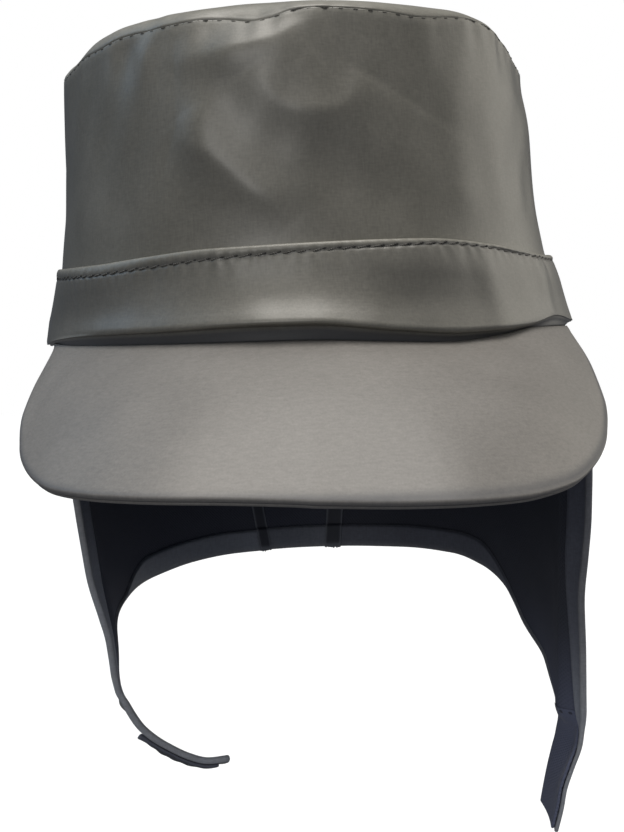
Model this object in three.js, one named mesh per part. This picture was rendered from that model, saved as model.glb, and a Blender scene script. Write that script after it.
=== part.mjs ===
// Rain cap of coated cloth: tall soft crown, sewn band, stiff peak, neck curtain with ear flaps
// and two chin straps. It keeps the form that it has on a head.
// Units are millimetres and +Z is up. The peak points along -Y. The origin is the centre of the
// head opening, level with the lower edge of the band. Azimuth is in degrees, 0 at the middle of
// the peak, positive towards +X, 180 at the back. Left and right are as seen facing the peak.

import * as THREE from 'three';

// Cloth and clearances
const CLOTH = 1.3;
const BAND_CLOTH = 1.6;
const PEAK_BOARD = 2.4;
const TAPE_CLOTH = 0.7;
const PATCH_CLOTH = 1.4;
const HEM_WIDTH = 8;
const HEM_CLOTH = 0.9;
const GAP = 0.35;

// Outer face of the crown wall. shift is how far the soft crown leans along X.
const WALL_SECTIONS = [
  { height: 0, halfWidth: 86.6, halfDepth: 102.0, shift: 0.4 },
  { height: 12, halfWidth: 84.0, halfDepth: 99.6, shift: -0.2 },
  { height: 25, halfWidth: 80.8, halfDepth: 97.2, shift: -1.2 },
  { height: 50, halfWidth: 78.4, halfDepth: 95.2, shift: -1.9 },
  { height: 75, halfWidth: 77.8, halfDepth: 93.6, shift: -1.6 },
  { height: 92, halfWidth: 76.8, halfDepth: 92.2, shift: -1.3 },
];
const WALL_HEIGHT = 89.3;
const WALL_ROWS = 11;
const AROUND_STEPS = 72;

// Soft dents and swells of the crown wall. across and upright are the reach along the cloth in mm,
// turn leans the fold in degrees, depth is inward in mm.
const WALL_FOLDS = [
  { azimuth: -9, height: 80, across: 17, upright: 8, turn: 0, depth: 2.4 },
  { azimuth: -2, height: 64, across: 13, upright: 4, turn: 0, depth: 1.5 },
  { azimuth: -4, height: 72, across: 12, upright: 5, turn: 10, depth: -1.2 },
  { azimuth: -22, height: 52, across: 24, upright: 6, turn: -42, depth: -1.6 },
  { azimuth: -30, height: 44, across: 22, upright: 8, turn: -42, depth: 1.4 },
  { azimuth: -40, height: 84, across: 9, upright: 7, turn: 0, depth: 1.6 },
  { azimuth: 12, height: 48, across: 26, upright: 12, turn: 60, depth: 1.6 },
  { azimuth: 40, height: 60, across: 20, upright: 22, turn: 0, depth: -1.5 },
  { azimuth: 78, height: 84, across: 26, upright: 10, turn: 0, depth: 3.2 },
  { azimuth: 120, height: 62, across: 24, upright: 9, turn: 25, depth: 2.2 },
  { azimuth: 165, height: 74, across: 22, upright: 9, turn: -15, depth: 2.0 },
  { azimuth: 195, height: 50, across: 20, upright: 8, turn: 30, depth: 1.8 },
  { azimuth: 245, height: 66, across: 24, upright: 10, turn: -30, depth: 2.2 },
];

// Sags and rises of the top rim
const RIM_WAVES = [
  { azimuth: -74, across: 15, rise: -4.0 },
  { azimuth: -48, across: 8, rise: -0.6 },
  { azimuth: 50, across: 12, rise: -0.8 },
  { azimuth: 75, across: 21, rise: -8.0 },
  { azimuth: 140, across: 16, rise: 0.8 },
  { azimuth: 172, across: 14, rise: -1.0 },
  { azimuth: 230, across: 18, rise: 0.8 },
];

// Top panel from its seam to its middle. inset is the distance inside the seam, rise is above it.
const TOP_EDGE = [
  { inset: 0, rise: GAP },
  { inset: -0.9, rise: 1.3 },
  { inset: 0.3, rise: 2.4 },
  { inset: 2.6, rise: 2.5 },
  { inset: 5.5, rise: 1.9 },
];
const TOP_RINGS = [
  { share: 0.84, rise: 2.2 },
  { share: 0.62, rise: 3.0 },
  { share: 0.36, rise: 3.4 },
];
const TOP_MIDDLE_RISE = 3.5;

// Band around the foot of the crown. outward is from the crown wall.
const BAND_HEIGHT = 24.2;
const BAND_SECTION = [
  { outward: GAP, height: 1.0 },
  { outward: GAP, height: 8 },
  { outward: GAP, height: 16 },
  { outward: GAP, height: BAND_HEIGHT - 0.6 },
  { outward: GAP + 0.8, height: BAND_HEIGHT },
  { outward: GAP + BAND_CLOTH + 0.3, height: BAND_HEIGHT - 0.9 },
  { outward: GAP + BAND_CLOTH + 0.2, height: BAND_HEIGHT - 2.1 },
  { outward: GAP + BAND_CLOTH - 0.5, height: BAND_HEIGHT - 3.2 },
  { outward: GAP + BAND_CLOTH - 0.1, height: BAND_HEIGHT - 6 },
  { outward: GAP + BAND_CLOTH + 0.2, height: 11 },
  { outward: GAP + BAND_CLOTH + 0.4, height: 5.6 },
  { outward: GAP + BAND_CLOTH + 0.1, height: 3.4 },
  { outward: GAP + 0.9, height: 1.6 },
  { outward: GAP + 0.3, height: 0.4 },
];

// Peak. Each row is one line from the band to the free edge, by its azimuth at the band.
const PEAK_LINES = [
  { azimuth: 0, side: 0, forward: 157, drop: 40.2 },
  { azimuth: 13, side: 31, forward: 154.5, drop: 39.8 },
  { azimuth: 24, side: 51, forward: 146.5, drop: 39.4 },
  { azimuth: 34, side: 66.4, forward: 133.5, drop: 38.4 },
  { azimuth: 43, side: 76.2, forward: 116.5, drop: 35.2 },
  { azimuth: 51, side: 82.4, forward: 96.5, drop: 29.4 },
  { azimuth: 58, side: 84.4, forward: 77, drop: 21.0 },
  { azimuth: 64, side: 83.6, forward: 59, drop: 12.0 },
  { azimuth: 69, side: 82.2, forward: 42, drop: 4.4 },
];
const PEAK_ROOT_DROP = 0.8;
const PEAK_ROOT_OUTWARD = 0.9;
const PEAK_SWELL = 3.2;
const PEAK_TWIST = 0.01;
const PEAK_STEPS_ACROSS = 34;
const PEAK_STEPS_OUT = 7;

// Curtain of neck panel and ear flaps, hung inside the foot of the crown
const CURTAIN_TOP = 9;
const FLAP_FRONT = { topAzimuth: 60, lowAzimuth: 67.5, lowHeight: -105 };
const SEAM_LEFT = { topAzimuth: 155, lowAzimuth: 164.9 };
const SEAM_RIGHT = { topAzimuth: 170, lowAzimuth: 175.6 };
const STRAP_WIDTH = 20;
const MM_PER_DEGREE = 1.6;
const NECK_HEM_HEIGHT = -88.4;

// Where the curtain leans off the line of the rim. shift is along the side's own X, out is positive.
const CURTAIN_LEANS = [
  { side: -1, azimuth: 80, across: 19, start: -34, full: -118, shift: -13 },
  { side: 1, azimuth: 92, across: 16, start: -45, full: -110, shift: -4.5 },
  { side: 1, azimuth: 58, across: 13, start: 0, full: -52, shift: 10.5 },
];

// Lower edge of each flap from the chin strap to the back seam
const LEFT_FLAP_EDGE = [
  { azimuth: 80, height: -121 },
  { azimuth: 84, height: -114.5 },
  { azimuth: 91, height: -110.6 },
  { azimuth: 101, height: -107.4 },
  { azimuth: 111, height: -103.6 },
  { azimuth: 120, height: -98.8 },
  { azimuth: 130, height: -93.8 },
  { azimuth: 142, height: -90.4 },
  { azimuth: 156, height: -88.9 },
  { azimuth: 180, height: NECK_HEM_HEIGHT },
];
const RIGHT_FLAP_EDGE = [
  { azimuth: 80, height: -131 },
  { azimuth: 84, height: -127.6 },
  { azimuth: 93, height: -121.7 },
  { azimuth: 103, height: -115.0 },
  { azimuth: 111, height: -107.8 },
  { azimuth: 119, height: -101.2 },
  { azimuth: 127, height: -94.8 },
  { azimuth: 140, height: -89.9 },
  { azimuth: 156, height: -88.2 },
  { azimuth: 180, height: NECK_HEM_HEIGHT },
];

// Way of each chin strap below its root on the flap. inward is towards the middle of the cap.
const LEFT_STRAP = [
  { inward: 0, drop: 0 },
  { inward: 1.8, drop: 4.4 },
  { inward: 5.0, drop: 9.4 },
  { inward: 9.5, drop: 14.2 },
  { inward: 14.6, drop: 18.4 },
  { inward: 20.0, drop: 22.0 },
  { inward: 26.0, drop: 24.2 },
  { inward: 32.2, drop: 25.2 },
  { inward: 38.4, drop: 24.0 },
];
const RIGHT_STRAP = [
  { inward: 0, drop: 0 },
  { inward: 0.9, drop: 7 },
  { inward: 2.8, drop: 14.5 },
  { inward: 5.0, drop: 21 },
  { inward: 6.9, drop: 28 },
  { inward: 8.4, drop: 34 },
  { inward: 9.6, drop: 40.6 },
];
const FLAPS = {
  left: { side: -1, seam: SEAM_LEFT, edge: LEFT_FLAP_EDGE, strap: LEFT_STRAP, rootHeight: -113, rearShare: 0.9 },
  right: { side: 1, seam: SEAM_RIGHT, edge: RIGHT_FLAP_EDGE, strap: RIGHT_STRAP, rootHeight: -124, rearShare: 0.75 },
};

// Small sewn trims
const TAPES = {
  left: { side: -1, seam: SEAM_LEFT, halfWidth: 2.4 },
  right: { side: 1, seam: SEAM_RIGHT, halfWidth: 3.4 },
};
const HOOK_PATCH = { from: 0.46, to: 0.97, nearEdge: 1, farEdge: 19 };
const LOOP_PATCH = { from: -0.12, to: 0.93, nearEdge: 6.5, farEdge: 19 };

// Returns a smooth function through the rows of a table, with input rising down the table.
function smoothTable(rows, input, output) {
  const count = rows.length;
  const slope = (a, b) => (rows[b][output] - rows[a][output]) / (rows[b][input] - rows[a][input]);
  const tangents = rows.map((row, i) => {
    if (i === 0) return slope(0, 1);
    if (i === count - 1) return slope(count - 2, count - 1);
    const before = slope(i - 1, i);
    const after = slope(i, i + 1);
    return before * after <= 0 ? 0 : (2 * before * after) / (before + after);
  });
  return (value) => {
    if (value <= rows[0][input]) return rows[0][output];
    if (value >= rows[count - 1][input]) return rows[count - 1][output];
    const i = rows.findIndex((row, k) => k < count - 1 && value <= rows[k + 1][input]);
    const span = rows[i + 1][input] - rows[i][input];
    const t = (value - rows[i][input]) / span;
    const ease = t * t * (3 - 2 * t);
    const bend = t * (1 - t) * span;
    const mixed = rows[i][output] * (1 - ease) + rows[i + 1][output] * ease;
    return mixed + bend * ((1 - t) * tangents[i] - t * tangents[i + 1]);
  };
}

const lerp = THREE.MathUtils.lerp;
const radians = THREE.MathUtils.degToRad;
const bell = (distance) => Math.exp(-0.5 * distance * distance);
const smoothRamp = (value, start, full) => THREE.MathUtils.smoothstep((value - start) / (full - start), 0, 1);

// Shortest signed angle between two azimuths
function azimuthBetween(from, to) {
  return THREE.MathUtils.euclideanModulo(to - from + 180, 360) - 180;
}

const wallHalfWidth = smoothTable(WALL_SECTIONS, 'height', 'halfWidth');
const wallHalfDepth = smoothTable(WALL_SECTIONS, 'height', 'halfDepth');
const wallShift = smoothTable(WALL_SECTIONS, 'height', 'shift');

// Point on the oval at a height, moved outward along its level normal
function ovalPoint(azimuth, height, outward) {
  const halfWidth = wallHalfWidth(Math.max(height, 0));
  const halfDepth = wallHalfDepth(Math.max(height, 0));
  const sine = Math.sin(radians(azimuth));
  const cosine = Math.cos(radians(azimuth));
  const normal = new THREE.Vector3(sine / halfWidth, -cosine / halfDepth, 0).normalize();
  const centre = wallShift(Math.max(height, 0));
  return new THREE.Vector3(centre + halfWidth * sine, -halfDepth * cosine, height).addScaledVector(normal, outward);
}

// Inward depth of the crown's soft folds at one place on the wall
function foldDepth(azimuth, height) {
  return WALL_FOLDS.reduce((sum, fold) => {
    const along = azimuthBetween(fold.azimuth, azimuth) * MM_PER_DEGREE;
    const up = height - fold.height;
    const turn = radians(fold.turn);
    const across = (along * Math.cos(turn) + up * Math.sin(turn)) / fold.across;
    const upright = (up * Math.cos(turn) - along * Math.sin(turn)) / fold.upright;
    return sum + fold.depth * bell(across) * bell(upright);
  }, 0);
}

function rimHeight(azimuth) {
  return RIM_WAVES.reduce((height, wave) => {
    return height + wave.rise * bell((azimuthBetween(wave.azimuth, azimuth) * MM_PER_DEGREE) / wave.across);
  }, WALL_HEIGHT);
}

// Crown wall point. Above the band the wall carries the folds and follows the waves of the rim.
function crownPoint(azimuth, height, outward) {
  const free = smoothRamp(height, BAND_HEIGHT, BAND_HEIGHT + 16);
  const lifted = height + (rimHeight(azimuth) - WALL_HEIGHT) * Math.max(0, height / WALL_HEIGHT) ** 4;
  const point = ovalPoint(azimuth, height, outward - free * foldDepth(azimuth, height));
  point.z = lifted;
  return point;
}

// Node of the cap from closed triangles, turned so that its faces point out
function clothNode(name, points, triangles, finish) {
  let volume = 0;
  const normal = new THREE.Vector3();
  for (const [a, b, c] of triangles) {
    volume += points[a].dot(normal.crossVectors(points[b], points[c])) / 6;
  }
  const faces = volume > 0 ? triangles : triangles.map(([a, b, c]) => [a, c, b]);
  const geometry = new THREE.BufferGeometry();
  geometry.setAttribute('position', new THREE.Float32BufferAttribute(points.flatMap((p) => [p.x, p.y, p.z]), 3));
  geometry.setIndex(faces.flat());
  geometry.computeVertexNormals();
  const mesh = new THREE.Mesh(geometry, new THREE.MeshStandardMaterial(finish));
  mesh.name = name;
  return mesh;
}

// Closed solid from a section carried around the oval. With a middle, the section's ends close there.
function aroundNode(name, sectionAt, finish, middle = null) {
  const points = [];
  const triangles = [];
  let sectionCount = 0;
  for (let i = 0; i < AROUND_STEPS; i += 1) {
    const section = sectionAt((360 * i) / AROUND_STEPS);
    sectionCount = section.length;
    points.push(...section);
  }
  const links = middle ? sectionCount - 1 : sectionCount;
  for (let i = 0; i < AROUND_STEPS; i += 1) {
    const here = i * sectionCount;
    const next = ((i + 1) % AROUND_STEPS) * sectionCount;
    for (let j = 0; j < links; j += 1) {
      const k = (j + 1) % sectionCount;
      triangles.push([here + j, next + j, next + k], [here + j, next + k, here + k]);
    }
  }
  if (middle) {
    const first = points.length;
    points.push(middle.first, middle.last);
    for (let i = 0; i < AROUND_STEPS; i += 1) {
      const here = i * sectionCount;
      const next = ((i + 1) % AROUND_STEPS) * sectionCount;
      triangles.push([first, next, here], [first + 1, here + links, next + links]);
    }
  }
  return clothNode(name, points, triangles, finish);
}

// Closed solid from an open sheet of cloth. lift moves the sheet along its normals and depth is its
// thickness on the other side, both by vertex.
function sheetNode(name, sheet, lift, depth, finish) {
  const count = sheet.points.length;
  const normals = sheet.points.map(() => new THREE.Vector3());
  const edges = new Map();
  const faceNormal = new THREE.Vector3();
  const first = new THREE.Vector3();
  const second = new THREE.Vector3();
  for (const triangle of sheet.triangles) {
    const [a, b, c] = triangle;
    first.subVectors(sheet.points[b], sheet.points[a]);
    second.subVectors(sheet.points[c], sheet.points[a]);
    faceNormal.crossVectors(first, second);
    for (let k = 0; k < 3; k += 1) {
      normals[triangle[k]].add(faceNormal);
      const from = triangle[k];
      const to = triangle[(k + 1) % 3];
      if (!edges.delete(`${to}:${from}`)) edges.set(`${from}:${to}`, [from, to]);
    }
  }
  normals.forEach((normal) => normal.normalize());
  const outer = sheet.points.map((point, i) => point.clone().addScaledVector(normals[i], lift(i)));
  const inner = sheet.points.map((point, i) => point.clone().addScaledVector(normals[i], lift(i) - depth(i)));
  const triangles = [];
  for (const [a, b, c] of sheet.triangles) {
    triangles.push([a, b, c], [count + a, count + c, count + b]);
  }
  for (const [from, to] of edges.values()) {
    triangles.push([from, count + from, count + to], [from, count + to, to]);
  }
  return clothNode(name, [...outer, ...inner], triangles, finish);
}

// Sheet with rows of points. A short row stops early, so the sheet can have a tail.
function sheetFromRows(rows) {
  const points = rows.flat();
  const triangles = [];
  let start = 0;
  for (let i = 0; i < rows.length - 1; i += 1) {
    const below = start + rows[i].length;
    for (let j = 0; j < rows[i + 1].length - 1; j += 1) {
      triangles.push([start + j, below + j, below + j + 1], [start + j, below + j + 1, start + j + 1]);
    }
    start = below;
  }
  return { points, triangles };
}

function crownSide(finish) {
  return aroundNode('crown_side', (azimuth) => {
    const heights = Array.from({ length: WALL_ROWS }, (_, row) => (WALL_HEIGHT * row) / (WALL_ROWS - 1));
    const outside = heights.map((height) => crownPoint(azimuth, height, 0));
    const inside = heights.reverse().map((height) => crownPoint(azimuth, height, -CLOTH));
    return [...outside, ...inside];
  }, finish);
}

function crownTop(finish) {
  const middle = { first: new THREE.Vector3(0, 0, WALL_HEIGHT + TOP_MIDDLE_RISE - CLOTH) };
  middle.last = new THREE.Vector3(0, 0, WALL_HEIGHT + TOP_MIDDLE_RISE);
  return aroundNode('crown_top', (azimuth) => {
    const seam = crownPoint(azimuth, WALL_HEIGHT, 0);
    const outward = ovalPoint(azimuth, WALL_HEIGHT, 1).sub(ovalPoint(azimuth, WALL_HEIGHT, 0));
    const ring = (share, rise) => {
      const rimShare = share ** 2;
      const height = lerp(WALL_HEIGHT, seam.z, rimShare) + rise;
      return new THREE.Vector3(seam.x * share, seam.y * share, height);
    };
    const edge = TOP_EDGE.map(({ inset, rise }) => {
      return seam.clone().addScaledVector(outward, -inset).add(new THREE.Vector3(0, 0, rise));
    });
    const underEdge = [
      seam.clone().addScaledVector(outward, -CLOTH).add(new THREE.Vector3(0, 0, GAP)),
      seam.clone().addScaledVector(outward, -CLOTH - 2).add(new THREE.Vector3(0, 0, GAP + 0.5)),
    ];
    const under = TOP_RINGS.map(({ share, rise }) => ring(share, rise - CLOTH)).reverse();
    const over = TOP_RINGS.map(({ share, rise }) => ring(share, rise));
    return [...under, ...underEdge.reverse(), ...edge, ...over];
  }, finish, middle);
}

function band(finish) {
  return aroundNode('band', (azimuth) => {
    return BAND_SECTION.map(({ outward, height }) => ovalPoint(azimuth, height, outward));
  }, finish);
}

function peak(finish) {
  const side = smoothTable(PEAK_LINES, 'azimuth', 'side');
  const forward = smoothTable(PEAK_LINES, 'azimuth', 'forward');
  const drop = smoothTable(PEAK_LINES, 'azimuth', 'drop');
  const reach = PEAK_LINES[PEAK_LINES.length - 1].azimuth;
  const rows = [];
  for (let i = 0; i <= PEAK_STEPS_OUT; i += 1) {
    const out = i / PEAK_STEPS_OUT;
    const row = [];
    for (let j = 0; j <= PEAK_STEPS_ACROSS; j += 1) {
      const azimuth = lerp(-reach, reach, j / PEAK_STEPS_ACROSS);
      const turn = Math.abs(azimuth);
      const root = ovalPoint(azimuth, -PEAK_ROOT_DROP, PEAK_ROOT_OUTWARD);
      const free = new THREE.Vector3(Math.sign(azimuth) * side(turn), -forward(turn), -drop(turn));
      const point = root.clone().lerp(free, out);
      const swell = PEAK_SWELL * Math.sin(Math.PI * out) * smoothRamp(turn, reach, reach * 0.4);
      point.z += swell - PEAK_TWIST * point.x * out;
      row.push(point);
    }
    rows.push(row);
  }
  return sheetNode('peak', sheetFromRows(rows), () => 0, () => PEAK_BOARD, finish);
}

// Lean of the curtain at one place, positive outward
function curtainShift(azimuth, height) {
  return CURTAIN_LEANS.filter((lean) => lean.side === Math.sign(azimuth)).reduce((sum, lean) => {
    const reach = bell(((Math.abs(azimuth) - lean.azimuth) * 1.0) / lean.across);
    return sum + lean.shift * reach * smoothRamp(height, lean.start, lean.full);
  }, 0);
}

// Azimuth of a back seam, which draws in towards the middle as it goes down
function seamAzimuth(seam, height) {
  const share = THREE.MathUtils.clamp(height / NECK_HEM_HEIGHT, 0, 1);
  return lerp(seam.topAzimuth, seam.lowAzimuth, share);
}

// Outer face of the curtain
function curtainPoint(azimuth, height) {
  const point = ovalPoint(azimuth, height, -CLOTH - GAP);
  point.x += Math.sign(azimuth) * curtainShift(azimuth, height);
  return point;
}

function flapFrontAzimuth(height) {
  const { topAzimuth, lowAzimuth, lowHeight } = FLAP_FRONT;
  return lerp(topAzimuth, lowAzimuth, THREE.MathUtils.clamp(height / lowHeight, 0, 1));
}

// Point of a flap, a distance behind its front edge
function flapPoint(flap, behind, height) {
  return curtainPoint(flap.side * (flapFrontAzimuth(height) + behind / MM_PER_DEGREE), height);
}

// Height of a flap's lower edge or strap root, a distance behind its front edge
function flapRootHeight(flap, behind) {
  return lerp(flap.rootHeight, flap.edge[0].height, behind / STRAP_WIDTH);
}

// Point of a chin strap, a distance behind its front edge and a share of the way down it
function strapPoint(flap, behind, share) {
  if (share < 0) {
    const height = flapRootHeight(flap, behind) - share * flap.strap[flap.strap.length - 1].drop;
    return flapPoint(flap, behind, height);
  }
  const steps = flap.strap.length - 1;
  const step = Math.min(Math.floor(share * steps), steps - 1);
  const part = share * steps - step;
  const scale = lerp(1, flap.rearShare, behind / STRAP_WIDTH);
  const inward = lerp(flap.strap[step].inward, flap.strap[step + 1].inward, part) * scale;
  const drop = lerp(flap.strap[step].drop, flap.strap[step + 1].drop, part) * scale;
  const root = flapPoint(flap, behind, flapRootHeight(flap, behind));
  return root.add(new THREE.Vector3(-flap.side * inward, 0, -drop));
}

function earFlap(name, flap, finish) {
  const strapColumns = [0, 4, HEM_WIDTH, HEM_WIDTH + 0.8, 14, STRAP_WIDTH];
  const panelShares = [0.05, 0.12, 0.2, 0.29, 0.38, 0.47, 0.56, 0.65, 0.74, 0.83, 0.92, 1];
  const panelRows = 9;
  const edgeHeight = smoothTable(flap.edge, 'azimuth', 'height');
  const hemRise = 0.8;
  const rows = [];
  const thick = [];
  const columnPoint = (column, row) => {
    if (column < strapColumns.length) {
      const behind = strapColumns[column];
      const height = lerp(CURTAIN_TOP, flapRootHeight(flap, behind), row / (panelRows + 2));
      return flapPoint(flap, behind, height);
    }
    const share = panelShares[column - strapColumns.length];
    const strapRear = (height) => flapFrontAzimuth(height) + STRAP_WIDTH / MM_PER_DEGREE;
    const lowAzimuth = lerp(strapRear(flap.edge[0].height), flap.seam.lowAzimuth, share);
    const low = edgeHeight(lowAzimuth);
    const slope = (edgeHeight(lowAzimuth + 2) - edgeHeight(lowAzimuth - 2)) / (4 * MM_PER_DEGREE);
    const hem = HEM_WIDTH * Math.hypot(1, slope);
    const heights = Array.from({ length: panelRows + 1 }, (_, i) => {
      return lerp(CURTAIN_TOP, low + hem + hemRise, i / panelRows);
    });
    const height = [...heights, low + hem, low][row];
    return curtainPoint(flap.side * lerp(strapRear(height), seamAzimuth(flap.seam, height), share), height);
  };
  const columns = strapColumns.length + panelShares.length;
  for (let row = 0; row <= panelRows + 2; row += 1) {
    rows.push(Array.from({ length: columns }, (_, column) => columnPoint(column, row)));
    thick.push(...rows[row].map((_, column) => strapColumns[column] <= HEM_WIDTH || row > panelRows));
  }
  for (let step = 1; step < flap.strap.length; step += 1) {
    const share = step / (flap.strap.length - 1);
    rows.push(strapColumns.map((behind) => strapPoint(flap, behind, share)));
    thick.push(...strapColumns.map(() => true));
  }
  const sheet = sheetFromRows(rows);
  if (flap.side < 0) sheet.triangles = sheet.triangles.map(([a, b, c]) => [a, c, b]);
  return sheetNode(name, sheet, () => 0, (i) => CLOTH + (thick[i] ? HEM_CLOTH : 0), finish);
}

function neckPanel(finish) {
  const margin = GAP / MM_PER_DEGREE;
  const steps = 6;
  const heights = [CURTAIN_TOP, 0, -20, -40, -60, NECK_HEM_HEIGHT + HEM_WIDTH + 0.8, NECK_HEM_HEIGHT + HEM_WIDTH];
  heights.push(NECK_HEM_HEIGHT);
  const rows = heights.map((height) => Array.from({ length: steps + 1 }, (_, i) => {
    const right = seamAzimuth(SEAM_RIGHT, height) + margin;
    const left = 360 - seamAzimuth(SEAM_LEFT, height) - margin;
    const azimuth = lerp(right, left, i / steps);
    return ovalPoint(azimuth, height, -CLOTH - GAP);
  }));
  const hemStart = (heights.length - 2) * (steps + 1);
  const depth = (i) => CLOTH + (i >= hemStart ? HEM_CLOTH : 0);
  return sheetNode('neck_panel', sheetFromRows(rows), () => 0, depth, finish);
}

function seamTape(name, tape, finish) {
  const heights = [-2, -30, -58, NECK_HEM_HEIGHT + HEM_WIDTH + 0.8, NECK_HEM_HEIGHT + HEM_WIDTH, NECK_HEM_HEIGHT + 0.4];
  const behind = (height) => CLOTH + GAP + (height < NECK_HEM_HEIGHT + HEM_WIDTH + 0.5 ? HEM_CLOTH : 0);
  const rows = heights.map((height) => [-1, 0, 1].map((edge) => {
    const azimuth = tape.side * seamAzimuth(tape.seam, height) + (edge * tape.halfWidth) / MM_PER_DEGREE;
    return ovalPoint(azimuth, height, -CLOTH - GAP - behind(height));
  }));
  return sheetNode(name, sheetFromRows(rows), () => 0, () => TAPE_CLOTH, finish);
}

// Patch sewn flat on a chin strap. lift is from the strap's outer face.
function strapPatch(name, flap, patch, lift, finish) {
  const steps = 7;
  const rows = Array.from({ length: steps + 1 }, (_, i) => {
    const share = lerp(patch.from, patch.to, i / steps);
    return [0, 0.5, 1].map((across) => strapPoint(flap, lerp(patch.nearEdge, patch.farEdge, across), share));
  });
  const sheet = sheetFromRows(rows);
  if (flap.side < 0) sheet.triangles = sheet.triangles.map(([a, b, c]) => [a, c, b]);
  return sheetNode(name, sheet, () => lift, () => PATCH_CLOTH, finish);
}

const olive = { color: 0x5c5b55, roughness: 0.5, metalness: 0 };
const oliveTop = { color: 0x66645d, roughness: 0.5, metalness: 0 };
const oliveBand = { color: 0x6a6862, roughness: 0.48, metalness: 0 };
const peakGrey = { color: 0x8d8881, roughness: 0.5, metalness: 0 };
const navy = { color: 0x1b1f29, roughness: 0.75, metalness: 0 };
const tapeGrey = { color: 0x2c2f38, roughness: 0.6, metalness: 0 };
const hookBlack = { color: 0x2a2b2f, roughness: 0.85, metalness: 0 };
const loopNavy = { color: 0x1d2433, roughness: 0.95, metalness: 0 };

const cap = new THREE.Group();
cap.name = 'rain_cap';
cap.add(
  crownSide(olive),
  crownTop(oliveTop),
  band(oliveBand),
  peak(peakGrey),
  earFlap('ear_flap_left', FLAPS.left, navy),
  earFlap('ear_flap_right', FLAPS.right, navy),
  neckPanel(navy),
  seamTape('seam_tape_left', TAPES.left, tapeGrey),
  seamTape('seam_tape_right', TAPES.right, tapeGrey),
  strapPatch('hook_patch', FLAPS.left, HOOK_PATCH, GAP + PATCH_CLOTH, hookBlack),
  strapPatch('loop_patch', FLAPS.right, LOOP_PATCH, -CLOTH - HEM_CLOTH - GAP, loopNavy),
);

export default cap;
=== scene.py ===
"""Looks of a rain cap of coated cloth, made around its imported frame.

The cap has a tall soft crown with a rolled rim, a band sewn round its foot, a stiff peak, and a
curtain of neck panel and ear flaps with two chin straps. It keeps the form that it has on a head.
Lengths are millimetres and become metres where a mesh is made. +Z is up, the peak points along -Y
and the origin is the middle of the head opening. Azimuth is in degrees, 0 at the middle of the
peak, positive towards +X, 180 at the back. Left and right are as seen facing the peak.
"""

import logging
import math
from collections.abc import Callable, Sequence
from dataclasses import dataclass, field
from enum import Enum, IntEnum
from typing import NamedTuple, TypeVar

import bpy
import numpy as np
from bpy.types import Material, Node, NodeInputs, NodeOutputs, NodeSocket, NodeTree, Object
from mathutils import Matrix, Vector


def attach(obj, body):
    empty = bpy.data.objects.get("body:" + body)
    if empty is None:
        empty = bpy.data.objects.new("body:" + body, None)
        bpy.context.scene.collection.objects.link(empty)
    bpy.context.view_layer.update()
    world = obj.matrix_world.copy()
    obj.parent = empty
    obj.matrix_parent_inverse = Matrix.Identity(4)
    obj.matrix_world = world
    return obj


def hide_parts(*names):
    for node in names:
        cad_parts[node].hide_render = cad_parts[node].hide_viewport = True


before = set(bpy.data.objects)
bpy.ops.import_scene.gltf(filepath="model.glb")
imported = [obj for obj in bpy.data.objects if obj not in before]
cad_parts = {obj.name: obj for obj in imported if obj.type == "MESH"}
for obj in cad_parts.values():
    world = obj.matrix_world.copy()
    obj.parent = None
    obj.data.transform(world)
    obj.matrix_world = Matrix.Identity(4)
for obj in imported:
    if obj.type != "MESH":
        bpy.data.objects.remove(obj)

log = logging.getLogger("rain_cap")

MM = 0.001
BODY = "root"
SEED = 11

# Cloth and clearances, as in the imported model
CLOTH = 1.3
BAND_CLOTH = 1.6
PEAK_BOARD = 2.9
TAPE_CLOTH = 0.7
PATCH_CLOTH = 1.4
HEM_WIDTH = 8.0
HEM_CLOTH = 0.9
GAP = 0.35
MM_PER_DEGREE = 1.6

# Roundness of edges: free, sewn in, of a tape and of a patch
FREE_EDGE = 0.62
SEWN_EDGE = 0.12
TAPE_EDGE = 0.3
PATCH_EDGE = 0.45

# Share of hemmed corners from which an inner face has the hem's finish
HEMMED_SHARE = 0.2

Row = TypeVar("Row")
Array = np.ndarray
Value = float | np.ndarray


class Face(IntEnum):
    """Material slot of a face of the cloth."""

    OUTER = 0
    INNER = 1
    HEM = 2


class Side(Enum):
    """Side of the cap as seen facing the peak, with the sign of its X."""

    LEFT = -1
    RIGHT = 1


class WallSection(NamedTuple):
    """Level of the crown's oval, with the lean of the soft crown along X."""

    height: float
    half_width: float
    half_depth: float
    shift: float


class Fold(NamedTuple):
    """Soft dent of the cloth. Its reach is in mm, its turn in degrees, its depth inward in mm."""

    azimuth: float
    height: float
    across: float
    upright: float
    turn: float
    depth: float


class RimWave(NamedTuple):
    """Sag or rise of the crown's top rim."""

    azimuth: float
    across: float
    rise: float


class Bulge(NamedTuple):
    """Shift of the peak's outline along X near an azimuth."""

    azimuth: float
    across: float
    shift: float

    def at(self, azimuth: Array) -> Array:
        """Shift at azimuths, in mm."""
        return self.shift * bell((azimuth - self.azimuth) / self.across)


class PeakLine(NamedTuple):
    """Line of the peak from the band to its free edge, by its azimuth at the band."""

    azimuth: float
    side: float
    forward: float
    drop: float


class LevelShift(NamedTuple):
    """Shift outward along X at a height, or width of a front hem there."""

    height: float
    shift: float


class Lean(NamedTuple):
    """Lean of the curtain off the line of the rim, outward along X."""

    side: Side
    azimuth: float
    across: float
    start: float
    full: float
    shift: float


class StrapPoint(NamedTuple):
    """Way of a chin strap's front and rear edge below its root. Inward is towards the cap's middle."""

    inward: float
    drop: float
    rear_inward: float
    rear_drop: float


class LinePoint(NamedTuple):
    """Height of a line round the cap, such as a seam or a lower edge, at an azimuth."""

    azimuth: float
    height: float


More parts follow.
